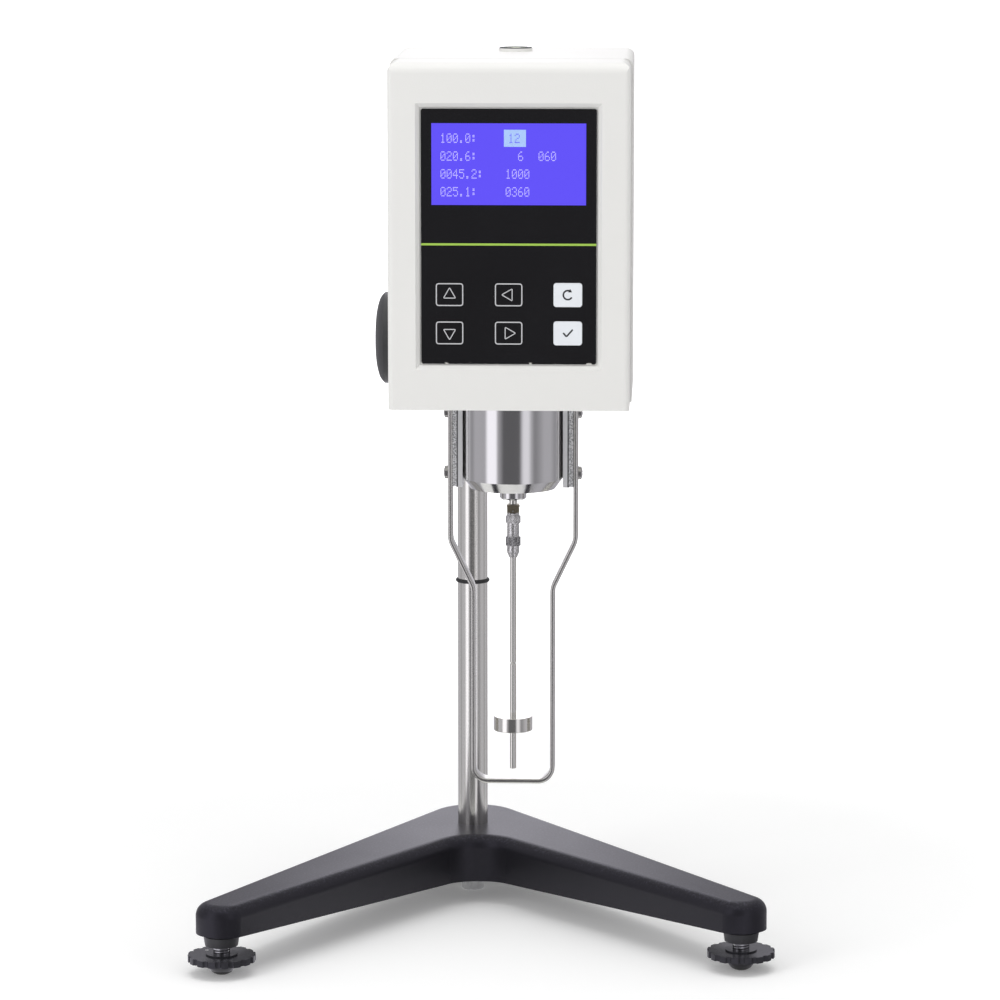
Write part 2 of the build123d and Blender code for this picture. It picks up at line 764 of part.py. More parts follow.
with BuildPart() as shaft_ring:
    with BuildSketch(Plane.YZ.offset(gearbox_half + ring_gap)):
        with Locations((pinion_y, pinion_height)):
            Circle(pinion_shaft_diameter / 2 + ring_wall)
            Circle(pinion_shaft_diameter / 2, mode=Mode.SUBTRACT)
    extrude(amount=ring_width)
shaft_ring.part.label = "shaft_ring"
export_step(shaft_ring.part, "parts/shaft_ring.step")

knob_radius = knob_diameter / 2
knob_rim_x = knob_apex_x + knob_dome
knob_back_x = knob_rim_x + knob_width
knob_end_x = -gearbox_half - shaft_boss_length - knob_gap
knob_hub_radius = knob_hub_diameter / 2
with BuildPart() as lift_knob:
    with BuildSketch(Plane(origin=(0, pinion_y, pinion_height), x_dir=(1, 0, 0), z_dir=(0, -1, 0))):
        with BuildLine():
            Polyline((knob_apex_x, knob_radius * knob_flat), (knob_apex_x, 0), (knob_end_x, 0),
                     (knob_end_x, knob_hub_radius), (knob_back_x, knob_hub_radius),
                     (knob_back_x, knob_radius - knob_chamfer),
                     (knob_back_x - knob_chamfer, knob_radius), (knob_rim_x, knob_radius))
            crown = TangentArc((knob_apex_x, knob_radius * knob_flat),
                               (knob_apex_x + knob_dome * knob_turn[0],
                                knob_radius * knob_turn[1]), tangent=(0, 1))
            TangentArc(crown @ 1, (knob_rim_x, knob_radius), tangent=crown % 1)
        make_face()
    revolve(axis=Axis((0, pinion_y, pinion_height), (1, 0, 0)))
    with BuildSketch(Plane.YZ.offset(shaft_start_x)):
        with Locations((pinion_y, pinion_height)):
            Circle(pinion_shaft_diameter / 2)
    extrude(amount=through, mode=Mode.SUBTRACT)
lift_knob.part.label = "lift_knob"
export_step(lift_knob.part, "parts/lift_knob.step")

# ---------------------------------------------------------------- head casing
flange_y = head_back_y - shell_wall - rod_flange_room
with BuildPart() as head_rod:
    with BuildSketch(Plane.XZ.offset(-rod_rear_y)):
        with Locations((head_x, rod_height)):
            Circle(rod_diameter / 2)
    extrude(amount=rod_rear_y - flange_y)
    chamfer(head_rod.edges().group_by(Axis.Y)[-1], length=rod_chamfer)
    with BuildSketch(Plane.XZ.offset(-flange_y)):
        with Locations((head_x, rod_height)):
            Circle(rod_flange_diameter / 2)
    extrude(amount=rod_flange_thickness)
head_rod.part.label = "head_rod"
export_step(head_rod.part, "parts/head_rod.step")


def casing_top(y):
    """Height of the casing's top at a depth: it falls a little towards the front."""
    return head_front_top + (head_rear_top - head_front_top) * (y - head_front_y) / head_depth


def casing_block(width, front_y, back_y, crown_radius, brow, upright):
    """Solid block of the casing between two depths.

    It is lofted between two front views with rounded crowns, so that its top slopes, then cut
    to the side view and to the plan. brow rounds the top of the front edge, and upright rounds
    the vertical edges: at the front where it is positive, at the rear where it is negative.
    """
    with BuildPart(mode=Mode.PRIVATE) as block:
        for y in (front_y, back_y):
            height = casing_top(y) - head_bottom
            with BuildSketch(Plane.XZ.offset(-y)):
                with Locations((head_x, head_bottom + height / 2)):
                    Rectangle(width, height)
                fillet(vertices().group_by(Axis.Y)[-1], radius=crown_radius)
        loft(ruled=True)
        if brow:
            with BuildSketch(Plane.YZ.offset(head_x)):
                Polygon((front_y, head_bottom), (back_y, head_bottom),
                        (back_y, casing_top(back_y)), (front_y, casing_top(front_y)), align=None)
                fillet(vertices().sort_by_distance((front_y, casing_top(front_y)))[0], radius=brow)
            extrude(amount=width, both=True, mode=Mode.INTERSECT)
        with BuildSketch(Plane.XY.offset(head_bottom)):
            with Locations((head_x, (front_y + back_y) / 2)):
                Rectangle(width, back_y - front_y)
            end = 0 if upright > 0 else -1
            fillet(vertices().group_by(Axis.Y)[end], radius=abs(upright))
        extrude(amount=head_rear_top - head_bottom + cut_margin, mode=Mode.INTERSECT)
    return block.part


def casing_cavity(front_y, back_y):
    """Room inside the casing between two depths, at least one wall in from every side."""
    with BuildPart(mode=Mode.PRIVATE) as cavity:
        with BuildSketch(Plane.XZ.offset(-front_y)):
            with Locations((head_x, chassis_z + cavity_height / 2)):
                RectangleRounded(cavity_width, cavity_height, cavity_corner)
        extrude(amount=front_y - back_y)
    return cavity.part


recess_width = panel_width + 2 * recess_margin
recess_height = panel_height + 2 * recess_margin
with BuildPart() as front_shell:
    add(casing_block(head_width, head_front_y, seam_y - seam_groove / 2,
                     front_corner_radius, brow_radius, upright_radius))
    add(casing_cavity(front_wall_y, seam_y), mode=Mode.SUBTRACT)
    # Bevelled recess for the panel.
    with BuildSketch(Plane.XZ.offset(-head_front_y)):
        with Locations((head_x, panel_centre_z)):
            Rectangle(recess_width + 2 * recess_bevel, recess_height + 2 * recess_bevel)
    with BuildSketch(Plane.XZ.offset(-head_front_y - recess_bevel)):
        with Locations((head_x, panel_centre_z)):
            Rectangle(recess_width, recess_height)
    loft(mode=Mode.SUBTRACT)
    with BuildSketch(Plane.XZ.offset(-recess_floor_y)):
        with Locations((head_x, panel_centre_z)):
            Rectangle(recess_width, recess_height)
    extrude(amount=recess_depth - recess_bevel, mode=Mode.SUBTRACT)
    # Openings behind the display window and behind the keys.
    with BuildSketch(Plane.XZ.offset(-front_wall_y)):
        with Locations((head_x, window_centre_z)):
            Rectangle(window_width + 2 * window_margin, window_height + 2 * window_margin)
        with Locations((head_x, keys_centre_z)):
            Rectangle(keys_width + 2 * key_margin, keys_height + 2 * key_margin)
    extrude(amount=front_wall, mode=Mode.SUBTRACT)
front_shell.part.label = "front_shell"
export_step(front_shell.part, "parts/front_shell.step")

level_seat = casing_top(level_y) - level_sink
housing_radius = housing_diameter / 2
board_x = head_left + shell_wall + board_standoff
screw_x = (head_left + shell_screw_side, head_right - shell_screw_side)
screw_z = (head_bottom + shell_screw_bottom, head_rear_top - shell_screw_top)
inlet_x = head_x + inlet_offset
switch_x = head_x + switch_offset
with BuildPart() as rear_shell:
    add(casing_block(head_width + 2 * rear_step, seam_y + seam_groove / 2, head_back_y,
                     rear_corner_radius, 0, -rear_upright_radius))
    add(casing_cavity(seam_y, head_back_y - shell_wall), mode=Mode.SUBTRACT)
    # Bosses that carry the main board on the left wall.
    with BuildSketch(Plane.YZ.offset(head_left + shell_wall)):
        for boss_y in board_boss_y:
            for boss_z in board_boss_z:
                with Locations((boss_y, boss_z)):
                    Circle(board_boss_radius)
    extrude(amount=board_standoff)
    with BuildSketch(drive_plane(head_bottom)):
        Circle(housing_radius + seat_gap)
    extrude(amount=shell_wall, mode=Mode.SUBTRACT)
    with BuildSketch(Plane.XZ.offset(-head_back_y)):
        with Locations((head_x, rod_height)):
            Circle(rod_diameter / 2 + rod_hole_room)
        with Locations((inlet_x, inlet_z)):
            Circle(inlet_diameter / 2)
        with Locations((switch_x, switch_z)):
            Rectangle(switch_width, switch_height)
        for x in screw_x:
            for z in screw_z:
                with Locations((x, z)):
                    Circle(shell_screw_radius)
    extrude(amount=shell_wall + cut_margin, mode=Mode.SUBTRACT)
    # Flat seat and hole for the level in the top wall.
    with BuildSketch(Plane(origin=(head_x, level_y, level_seat))):
        Circle(level_diameter / 2)
    extrude(amount=level_sink + cut_margin, mode=Mode.SUBTRACT)
    with BuildSketch(Plane(origin=(head_x, level_y, level_seat))):
        Circle(vial_diameter / 2)
    extrude(amount=-vial_room, mode=Mode.SUBTRACT)
rear_shell.part.label = "rear_shell"
export_step(rear_shell.part, "parts/rear_shell.step")

gasket_height = cavity_height + 2 * (shell_wall - seam_inset)
with BuildPart() as seam_gasket:
    with BuildSketch(Plane.XZ.offset(-(seam_y + seam_groove / 2))):
        with Locations((head_x, chassis_z + cavity_height / 2)):
            RectangleRounded(head_width - 2 * seam_inset, gasket_height, seam_corner)
            RectangleRounded(cavity_width, cavity_height, cavity_corner, mode=Mode.SUBTRACT)
    extrude(amount=seam_groove)
seam_gasket.part.label = "seam_gasket"
export_step(seam_gasket.part, "parts/seam_gasket.step")

with BuildPart() as shell_screws:
    for x in screw_x:
        for z in screw_z:
            with BuildSketch(Plane.XZ.offset(-head_back_y)):
                with Locations((x, z)):
                    Circle(shell_screw_radius)
            extrude(amount=shell_wall + shell_screw_reach)
            with BuildSketch(Plane.XZ.offset(-head_back_y)):
                with Locations((x, z)):
                    Circle(shell_screw_head_radius)
            extrude(amount=-shell_screw_head_height)
shell_screws.part.label = "shell_screws"
export_step(shell_screws.part, "parts/shell_screws.step")

chassis_front_y = seam_y - chassis_front
chassis_back_y = flange_y - rod_flange_thickness
upright_width, upright_height, upright_thickness = chassis_upright
with BuildPart() as head_chassis:
    with BuildSketch(Plane.XY.offset(chassis_z)):
        with Locations((head_x, (chassis_front_y + chassis_back_y) / 2)):
            Rectangle(cavity_width - 2 * cavity_corner, chassis_back_y - chassis_front_y)
        with Locations((head_x, drive_y)):
            Circle(housing_radius - housing_wall, mode=Mode.SUBTRACT)
    extrude(amount=chassis_thickness)
    with BuildSketch(Plane.XZ.offset(-chassis_back_y)):
        with Locations((head_x, chassis_z + upright_height / 2)):
            Rectangle(upright_width, upright_height)
    extrude(amount=upright_thickness)
head_chassis.part.label = "head_chassis"
export_step(head_chassis.part, "parts/head_chassis.step")

# ---------------------------------------------------------------- display and keys
with BuildPart() as overlay_panel:
    with BuildSketch(Plane.XZ.offset(-recess_floor_y)):
        with Locations((head_x, panel_centre_z)):
            RectangleRounded(panel_width, panel_height, panel_corner)
        with Locations((head_x, window_centre_z)):
            Rectangle(window_width, window_height, mode=Mode.SUBTRACT)
        for x in key_columns_x:
            for z in key_rows_z:
                with Locations((x, z)):
                    RectangleRounded(key_width + 2 * key_gap, key_height + 2 * key_gap,
                                     key_corner + key_gap, mode=Mode.SUBTRACT)
    extrude(amount=panel_thickness)
overlay_panel.part.label = "overlay_panel"
export_step(overlay_panel.part, "parts/overlay_panel.step")

with BuildPart() as lcd_window:
    with BuildSketch(Plane.XZ.offset(-recess_floor_y)):
        with Locations((head_x, window_centre_z)):
            Rectangle(window_width, window_height)
    extrude(amount=panel_thickness)
lcd_window.part.label = "lcd_window"
export_step(lcd_window.part, "parts/lcd_window.step")

with BuildPart() as lcd_module:
    with BuildSketch(Plane.XZ.offset(-front_wall_y)):
        with Locations((head_x, window_centre_z)):
            Rectangle(lcd_frame_width, lcd_frame_height)
    extrude(amount=-lcd_frame_depth)
    with BuildSketch(Plane.XZ.offset(-(front_wall_y + lcd_frame_depth))):
        with Locations((head_x, window_centre_z)):
            Rectangle(lcd_board_width, lcd_board_height)
    extrude(amount=-board_thickness)
    with BuildSketch(Plane.XZ.offset(-front_wall_y)):
        with Locations((head_x, window_centre_z)):
            Rectangle(window_width, window_height)
    extrude(amount=lcd_glass_depth)
lcd_module.part.label = "lcd_module"
export_step(lcd_module.part, "parts/lcd_module.step")

dome_face_y = recess_floor_y + key_stem_length + key_travel + dome_gap
with BuildPart() as key_board:
    with BuildSketch(Plane.XZ.offset(-front_wall_y)):
        with Locations((head_x, keys_centre_z)):
            Rectangle(keys_width + 2 * key_board_margin, keys_height + 2 * key_board_margin)
    extrude(amount=-board_thickness)
    with BuildSketch(Plane.XZ.offset(-front_wall_y)):
        for x in key_columns_x:
            for z in key_rows_z:
                with Locations((x, z)):
                    Circle(dome_radius)
    extrude(amount=front_wall_y - dome_face_y)
key_board.part.label = "key_board"
export_step(key_board.part, "parts/key_board.step")

key_names = {(0, 0): "key_up", (1, 0): "key_left", (2, 0): "key_reset",
             (0, 1): "key_down", (1, 1): "key_right", (2, 1): "key_enter"}
for (column_index, row_index), name in key_names.items():
    key_x = key_columns_x[column_index]
    key_z = key_rows_z[row_index]
    with BuildPart() as key:
        with BuildSketch(Plane.XZ.offset(-recess_floor_y)):
            with Locations((key_x, key_z)):
                RectangleRounded(key_width, key_height, key_corner)
        extrude(amount=key_thickness + key_proud)
        with BuildSketch(Plane.XZ.offset(-recess_floor_y)):
            with Locations((key_x, key_z)):
                Circle(key_stem_diameter / 2)
        extrude(amount=-key_stem_length)
    key.part.label = name
    export_step(key.part, f"parts/{name}.step")

board_width = board_boss_y[1] - board_boss_y[0] + 2 * board_margin
board_height = board_boss_z[1] - board_boss_z[0] + 2 * board_margin
with BuildPart() as main_board:
    with BuildSketch(Plane.YZ.offset(board_x)):
        with Locations((sum(board_boss_y) / 2, sum(board_boss_z) / 2)):
            Rectangle(board_width, board_height)
    extrude(amount=board_thickness)
    with BuildSketch(Plane.YZ.offset(board_x + board_thickness)):
        with Locations(*chip_places):
            Rectangle(chip_size, chip_size)
    extrude(amount=chip_height)
    with BuildSketch(Plane.YZ.offset(board_x + board_thickness)):
        with Locations(*capacitor_places):
            Circle(capacitor_radius)
    extrude(amount=capacitor_height)
main_board.part.label = "main_board"
export_step(main_board.part, "parts/main_board.step")

# ---------------------------------------------------------------- level, inlet and switch
with BuildPart() as level_ring:
    with BuildSketch(Plane(origin=(head_x, level_y, level_seat))):
        Circle(level_diameter / 2)
        Circle(vial_diameter / 2, mode=Mode.SUBTRACT)
    extrude(amount=level_rim_height)
    chamfer(level_ring.edges().group_by(Axis.Z)[-1].sort_by(SortBy.LENGTH)[-1],
            length=level_chamfer)
level_ring.part.label = "level_ring"
export_step(level_ring.part, "parts/level_ring.step")

with BuildPart() as level_vial:
    with BuildSketch(Plane(origin=(head_x, level_y, level_seat - level_height))):
        Circle(vial_diameter / 2)
    extrude(amount=level_height + level_rim_height - vial_inset)
    chamfer(level_vial.edges().group_by(Axis.Z)[-1], length=level_chamfer)
level_vial.part.label = "level_vial"
export_step(level_vial.part, "parts/level_vial.step")

with BuildPart() as power_inlet:
    # Barrel jack: flange and nut outside, body inside, a pin down the middle of the socket.
    with BuildSketch(Plane.XZ.offset(-head_back_y)):
        with Locations((inlet_x, inlet_z)):
            Circle(inlet_diameter / 2 + inlet_flange)
    extrude(amount=-inlet_flange_thickness)
    with BuildSketch(Plane.XZ.offset(-head_back_y)):
        with Locations((inlet_x, inlet_z)):
            Circle(inlet_diameter / 2)
    extrude(amount=inlet_length)
    with BuildSketch(Plane.XZ.offset(-head_back_y - inlet_flange_thickness)):
        with Locations((inlet_x, inlet_z)):
            Circle(inlet_bore / 2)
    extrude(amount=inlet_socket_depth, mode=Mode.SUBTRACT)
    with BuildSketch(Plane.XZ.offset(-head_back_y)):
        with Locations((inlet_x, inlet_z)):
            Circle(inlet_pin / 2)
    extrude(amount=inlet_socket_depth)
power_inlet.part.label = "power_inlet"
export_step(power_inlet.part, "parts/power_inlet.step")

with BuildPart() as switch_frame:
    with BuildSketch(Plane.XZ.offset(-head_back_y)):
        with Locations((switch_x, switch_z)):
            Rectangle(switch_width + 2 * switch_bezel, switch_height + 2 * switch_bezel)
    extrude(amount=-switch_bezel_thickness)
    with BuildSketch(Plane.XZ.offset(-head_back_y)):
        with Locations((switch_x, switch_z)):
            Rectangle(switch_width, switch_height)
    extrude(amount=switch_length)
    with BuildSketch(Plane.XZ.offset(-head_back_y - switch_bezel_thickness)):
        with Locations((switch_x, switch_z)):
            Rectangle(rocker_width + 2 * seat_gap, rocker_height + 2 * rocker_end_room)
    extrude(amount=switch_well, mode=Mode.SUBTRACT)
    with BuildSketch(Plane.YZ.offset(switch_x)):
        with Locations((rocker_pivot_y, switch_z)):
            Circle(rocker_pin / 2)
    extrude(amount=(rocker_width + switch_width) / 4, both=True)
switch_frame.part.label = "switch_frame"
export_step(switch_frame.part, "parts/switch_frame.step")

rocker_half = rocker_height / 2
rocker_back_y = rocker_pivot_y - rocker_depth
with BuildPart() as power_rocker:
    # Shallow V face, tipped so that its lower half is pressed in.
    with BuildSketch(Plane.YZ.offset(switch_x - rocker_width / 2)):
        Polygon((rocker_back_y, switch_z - rocker_back_half),
                (rocker_pivot_y + rocker_pressed[0], switch_z - rocker_half),
                (rocker_pivot_y + rocker_pressed[1], switch_z - rocker_half + rocker_pressed[2]),
                (rocker_pivot_y + rocker_ridge, switch_z),
                (rocker_pivot_y + rocker_raised[0], switch_z + rocker_half - rocker_raised[1]),
                (rocker_pivot_y + rocker_raised[2], switch_z + rocker_half - rocker_raised[3]),
                (rocker_back_y, switch_z + rocker_back_half), align=None)
    extrude(amount=rocker_width)
    with BuildSketch(Plane.YZ.offset(switch_x)):
        with Locations((rocker_pivot_y, switch_z)):
            Circle(rocker_pin / 2 + running_gap)
    extrude(amount=rocker_width, both=True, mode=Mode.SUBTRACT)
power_rocker.part.label = "power_rocker"
export_step(power_rocker.part, "parts/power_rocker.step")

# ---------------------------------------------------------------- drive housing and guard
bearing_diameter = hub_spigot_diameter
housing_cavity_z = housing_bottom + housing_floor
with BuildPart() as drive_housing:
    with BuildSketch(drive_plane(housing_bottom)):
        Circle(housing_radius)
    extrude(amount=chassis_z - housing_bottom)
    chamfer(drive_housing.edges().group_by(Axis.Z)[0], length=housing_chamfer_width,
            length2=housing_chamfer_height, reference=drive_housing.faces().sort_by(Axis.Z)[0])
    with BuildSketch(drive_plane(housing_cavity_z)):
        Circle(housing_radius - housing_wall)
    extrude(amount=chassis_z - housing_cavity_z, mode=Mode.SUBTRACT)
    with BuildSketch(drive_plane(housing_bottom)):
        Circle(hub_spigot_diameter / 2)
    extrude(amount=housing_floor, mode=Mode.SUBTRACT)
drive_housing.part.label = "drive_housing"
export_step(drive_housing.part, "parts/drive_housing.step")

measuring_radius = measuring_shaft_diameter / 2
hub_radius = hub_diameter / 2
hub_bore = measuring_radius + hub_room
with BuildPart() as shaft_hub:
    add(turned_piece([(hub_bore, hub_bottom), (hub_radius - edge_chamfer, hub_bottom),
                      (hub_radius, hub_bottom + edge_chamfer), (hub_radius, housing_bottom),
                      (hub_spigot_diameter / 2, housing_bottom),
                      (hub_spigot_diameter / 2, housing_bottom + hub_floor),
                      (hub_bore, housing_bottom + hub_floor)], head_x, drive_y))
shaft_hub.part.label = "shaft_hub"
export_step(shaft_hub.part, "parts/shaft_hub.step")

with BuildPart() as shaft_bearing:
    with BuildSketch(drive_plane(housing_bottom + hub_floor)):
        Circle(bearing_diameter / 2)
        Circle(measuring_radius + running_gap, mode=Mode.SUBTRACT)
    extrude(amount=housing_floor - hub_floor)
shaft_bearing.part.label = "shaft_bearing"
export_step(shaft_bearing.part, "parts/shaft_bearing.step")

for side, name in ((-1, "left"), (1, "right")):
    with BuildPart() as bracket:
        with BuildSketch(Plane.XY.offset(bracket_bottom)):
            for x, width, depth in (
                    ((bracket_inner_x + bracket_outer_x) / 2, bracket_outer_x - bracket_inner_x,
                     bracket_width - 2 * bracket_groove_depth),
                    (bracket_inner_x + bracket_rib / 2, bracket_rib, bracket_width)):
                with Locations((head_x + side * x, drive_y)):
                    Rectangle(width, depth)
            # The rib's inner face follows the round housing.
            with Locations((head_x, drive_y)):
                Circle(bracket_inner_x, mode=Mode.SUBTRACT)
        extrude(amount=head_bottom - bracket_bottom)
        with BuildSketch(Plane.YZ.offset(head_x + side * bracket_outer_x)):
            for z in guard_screw_z:
                with Locations((drive_y, z)):
                    Circle(guard_screw_diameter / 2)
        extrude(amount=-side * bracket_screw_depth, mode=Mode.SUBTRACT)
    bracket.part.label = f"{name}_bracket"
    export_step(bracket.part, f"parts/{name}_bracket.step")

strap_floor = strap_bottom + strap_thickness / 2
with BuildPart() as guard_frame:
    with BuildSketch(Plane(origin=(head_x, drive_y, 0), x_dir=(1, 0, 0), z_dir=(0, -1, 0))):
        with BuildLine() as strap_line:
            FilletPolyline((-strap_upper_x, strap_top), (-strap_upper_x, strap_shoulder_z),
                           (-strap_lower_x, strap_waist_z), (-strap_lower_x, strap_floor),
                           (strap_lower_x, strap_floor), (strap_lower_x, strap_waist_z),
                           (strap_upper_x, strap_shoulder_z), (strap_upper_x, strap_top),
                           radius=(strap_bend_radius, strap_bend_radius, strap_corner_radius,
                                   strap_corner_radius, strap_bend_radius, strap_bend_radius))
        trace(line_width=strap_thickness)
    extrude(amount=strap_width / 2, both=True)
    with BuildSketch(Plane.YZ.offset(head_x)):
        for z in guard_screw_z:
            with Locations((drive_y, z)):
                Circle(guard_screw_diameter / 2)
    extrude(amount=through, both=True, mode=Mode.SUBTRACT)
guard_frame.part.label = "guard_frame"
export_step(guard_frame.part, "parts/guard_frame.step")

with BuildPart() as guard_screws:
    strap_face = strap_upper_x + strap_thickness / 2
    for side in (-1, 1):
        for z in guard_screw_z:
            with BuildSketch(Plane.YZ.offset(head_x + side * strap_face)):
                with Locations((drive_y, z)):
                    Circle(guard_screw_head_diameter / 2)
            extrude(amount=side * guard_screw_head_height, taper=guard_screw_head_taper)
            shank_x = bracket_outer_x - bracket_screw_depth
            with BuildSketch(Plane.YZ.offset(head_x + side * shank_x)):
                with Locations((drive_y, z)):
                    Circle(guard_screw_diameter / 2)
            extrude(amount=side * (strap_thickness + bracket_screw_depth))
guard_screws.part.label = "guard_screws"
export_step(guard_screws.part, "parts/guard_screws.step")

# ---------------------------------------------------------------- drive and torque spring
motor_z = motor_plate_z + motor_plate_thickness
motor_shaft_bottom = drive_disc_z + drive_disc_thickness + drive_hub_floor
with BuildPart() as motor_posts:
    with BuildSketch(Plane.XY.offset(chassis_z + chassis_thickness)):
        for x in (-post_offset, post_offset):
            for y in (-post_offset, post_offset):
                with Locations((head_x + x, drive_y + y)):
                    Circle(post_diameter / 2)
    extrude(amount=motor_plate_z - chassis_z - chassis_thickness)
motor_posts.part.label = "motor_posts"
export_step(motor_posts.part, "parts/motor_posts.step")

with BuildPart() as motor_plate:
    with BuildSketch(drive_plane(motor_plate_z)):
        RectangleRounded(motor_plate_size, motor_plate_size, motor_corner)
        Circle(motor_shaft_diameter, mode=Mode.SUBTRACT)
    extrude(amount=motor_plate_thickness)
motor_plate.part.label = "motor_plate"
export_step(motor_plate.part, "parts/motor_plate.step")

with BuildPart() as drive_motor:
    with BuildSketch(drive_plane(motor_z)):
        RectangleRounded(motor_size, motor_size, motor_corner)
    extrude(amount=motor_height)
    with BuildSketch(drive_plane(motor_z)):
        Circle(motor_shaft_diameter / 2 + running_gap)
    extrude(amount=motor_height / 2, mode=Mode.SUBTRACT)
drive_motor.part.label = "drive_motor"
export_step(drive_motor.part, "parts/drive_motor.step")

with BuildPart() as motor_shaft:
    with BuildSketch(drive_plane(motor_shaft_bottom)):
        Circle(motor_shaft_diameter / 2)
    extrude(amount=motor_z + motor_height / 2 - motor_shaft_end_room - motor_shaft_bottom)
motor_shaft.part.label = "motor_shaft"
export_step(motor_shaft.part, "parts/motor_shaft.step")

pivot_radius = pivot_diameter / 2
stud_x = spring_outer_radius + spring_thickness / 2 + spring_stud_gap
spring_top = spring_z + spring_height
with BuildPart() as drive_disc:
    with BuildSketch(drive_plane(drive_disc_z)):
        Circle(drive_disc_diameter / 2)
    extrude(amount=drive_disc_thickness)
    with BuildSketch(drive_plane(drive_disc_z)):
        Circle(drive_hub_diameter / 2)
    extrude(amount=drive_hub_height)
    with BuildSketch(drive_plane(motor_shaft_bottom)):
        Circle(motor_shaft_diameter / 2)
    extrude(amount=drive_hub_height, mode=Mode.SUBTRACT)
    # Pivot hole below, and the stud that holds the spring's outer end.
    with BuildSketch(drive_plane(drive_disc_z)):
        Circle(pivot_radius + running_gap)
    extrude(amount=drive_disc_thickness, mode=Mode.SUBTRACT)
    with BuildSketch(drive_plane(spring_z)):
        with Locations((stud_x, 0)):
            Circle(spring_stud_radius)
    extrude(amount=drive_disc_z - spring_z)
drive_disc.part.label = "drive_disc"
export_step(drive_disc.part, "parts/drive_disc.step")

with BuildPart() as hairspring:
    # Flat spiral from the collet to the stud.
    spiral_points = []
    spiral_steps = int(spring_turns * spring_steps)
    for step in range(spiral_steps + 1):
        share = step / spiral_steps
        radius = spring_inner_radius + (spring_outer_radius - spring_inner_radius) * share
        angle = 2 * pi * spring_turns * (share - 1)
        spiral_points.append((radius * cos(angle), radius * sin(angle)))
    with BuildSketch(drive_plane(spring_z)):
        with BuildLine():
            Polyline(*spiral_points)
        trace(line_width=spring_thickness)
        Circle(spring_inner_radius + spring_collet_lap)
        Circle(measuring_radius + running_gap, mode=Mode.SUBTRACT)
    extrude(amount=spring_height)
hairspring.part.label = "hairspring"
export_step(hairspring.part, "parts/hairspring.step")

pin_radius = pin_diameter / 2
upper_tongue_end = upper_pin_z - pin_radius - tongue_lap
lower_tongue_end = lower_pin_z + pin_radius + rotor_tongue_lap
with BuildPart() as measuring_shaft:
    with BuildSketch(drive_plane(shaft_shoulder_z)):
        Circle(measuring_radius)
    extrude(amount=spring_top + shaft_over_spring - shaft_shoulder_z)
    with BuildSketch(drive_plane(spring_top)):
        Circle(pivot_radius)
    extrude(amount=drive_disc_z + drive_disc_thickness - pivot_gap - spring_top)
    with BuildSketch(drive_plane(shaft_shoulder_z)):
        Rectangle(tongue_thickness, tongue_width)
    extrude(amount=upper_tongue_end - shaft_shoulder_z)
    with BuildSketch(Plane(origin=(head_x, drive_y, upper_pin_z), z_dir=(1, 0, 0))):
        Circle(pin_radius + running_gap)
    extrude(amount=pin_bore_half, both=True, mode=Mode.SUBTRACT)
measuring_shaft.part.label = "measuring_shaft"
export_step(measuring_shaft.part, "parts/measuring_shaft.step")

with BuildPart() as angle_disc:
    with BuildSketch(drive_plane(angle_disc_z)):
        Circle(angle_disc_diameter / 2)
    extrude(amount=angle_disc_thickness)
    with BuildSketch(drive_plane(angle_disc_z)):
        Circle(measuring_radius + angle_hub_wall)
    extrude(amount=angle_hub_half, both=True)
    with BuildSketch(drive_plane(angle_disc_z)):
        Circle(measuring_radius)
    extrude(amount=angle_hub_half, both=True, mode=Mode.SUBTRACT)
    with BuildSketch(drive_plane(angle_disc_z)):
        with PolarLocations(angle_disc_diameter / 2 - angle_slot_inset, angle_slots):
            Rectangle(angle_slot_length, angle_slot_width)
    extrude(amount=angle_disc_thickness, mode=Mode.SUBTRACT)
angle_disc.part.label = "angle_disc"
export_step(angle_disc.part, "parts/angle_disc.step")

# ---------------------------------------------------------------- swivel and rotor
upper_slot_floor = upper_tongue_end - slot_room
lower_slot_roof = lower_tongue_end + slot_room
with BuildPart() as swivel_block:
    with BuildSketch(drive_plane(block_bottom)):
        Rectangle(block_size, block_size)
    extrude(amount=block_top - block_bottom)
    chamfer(swivel_block.edges().filter_by(Axis.Z), length=block_chamfer)
    with BuildSketch(drive_plane(upper_slot_floor)):
        Rectangle(tongue_thickness + 2 * running_gap, tongue_width + 2 * tongue_room)
    extrude(amount=block_top - upper_slot_floor, mode=Mode.SUBTRACT)
    with BuildSketch(drive_plane(block_bottom)):
        Rectangle(tongue_width + 2 * tongue_room, tongue_thickness + 2 * running_gap)
    extrude(amount=lower_slot_roof - block_bottom, mode=Mode.SUBTRACT)
    with BuildSketch(Plane(origin=(head_x, drive_y, upper_pin_z), z_dir=(1, 0, 0))):
        Circle(pin_radius)
    extrude(amount=block_size, both=True, mode=Mode.SUBTRACT)
    with BuildSketch(Plane(origin=(head_x, drive_y, lower_pin_z), z_dir=(0, 1, 0))):
        Circle(pin_radius)
    extrude(amount=block_size, both=True, mode=Mode.SUBTRACT)
swivel_block.part.label = "swivel_block"
export_step(swivel_block.part, "parts/swivel_block.step")

with BuildPart() as swivel_pins:
    with BuildSketch(Plane(origin=(head_x, drive_y, upper_pin_z), z_dir=(1, 0, 0))):
        Circle(pin_radius)
    extrude(amount=block_size / 2 + pin_proud, both=True)
    with BuildSketch(Plane(origin=(head_x, drive_y, lower_pin_z), z_dir=(0, 1, 0))):
        Circle(pin_radius)
    extrude(amount=block_size / 2 + pin_proud, both=True)
swivel_pins.part.label = "swivel_pins"
export_step(swivel_pins.part, "parts/swivel_pins.step")

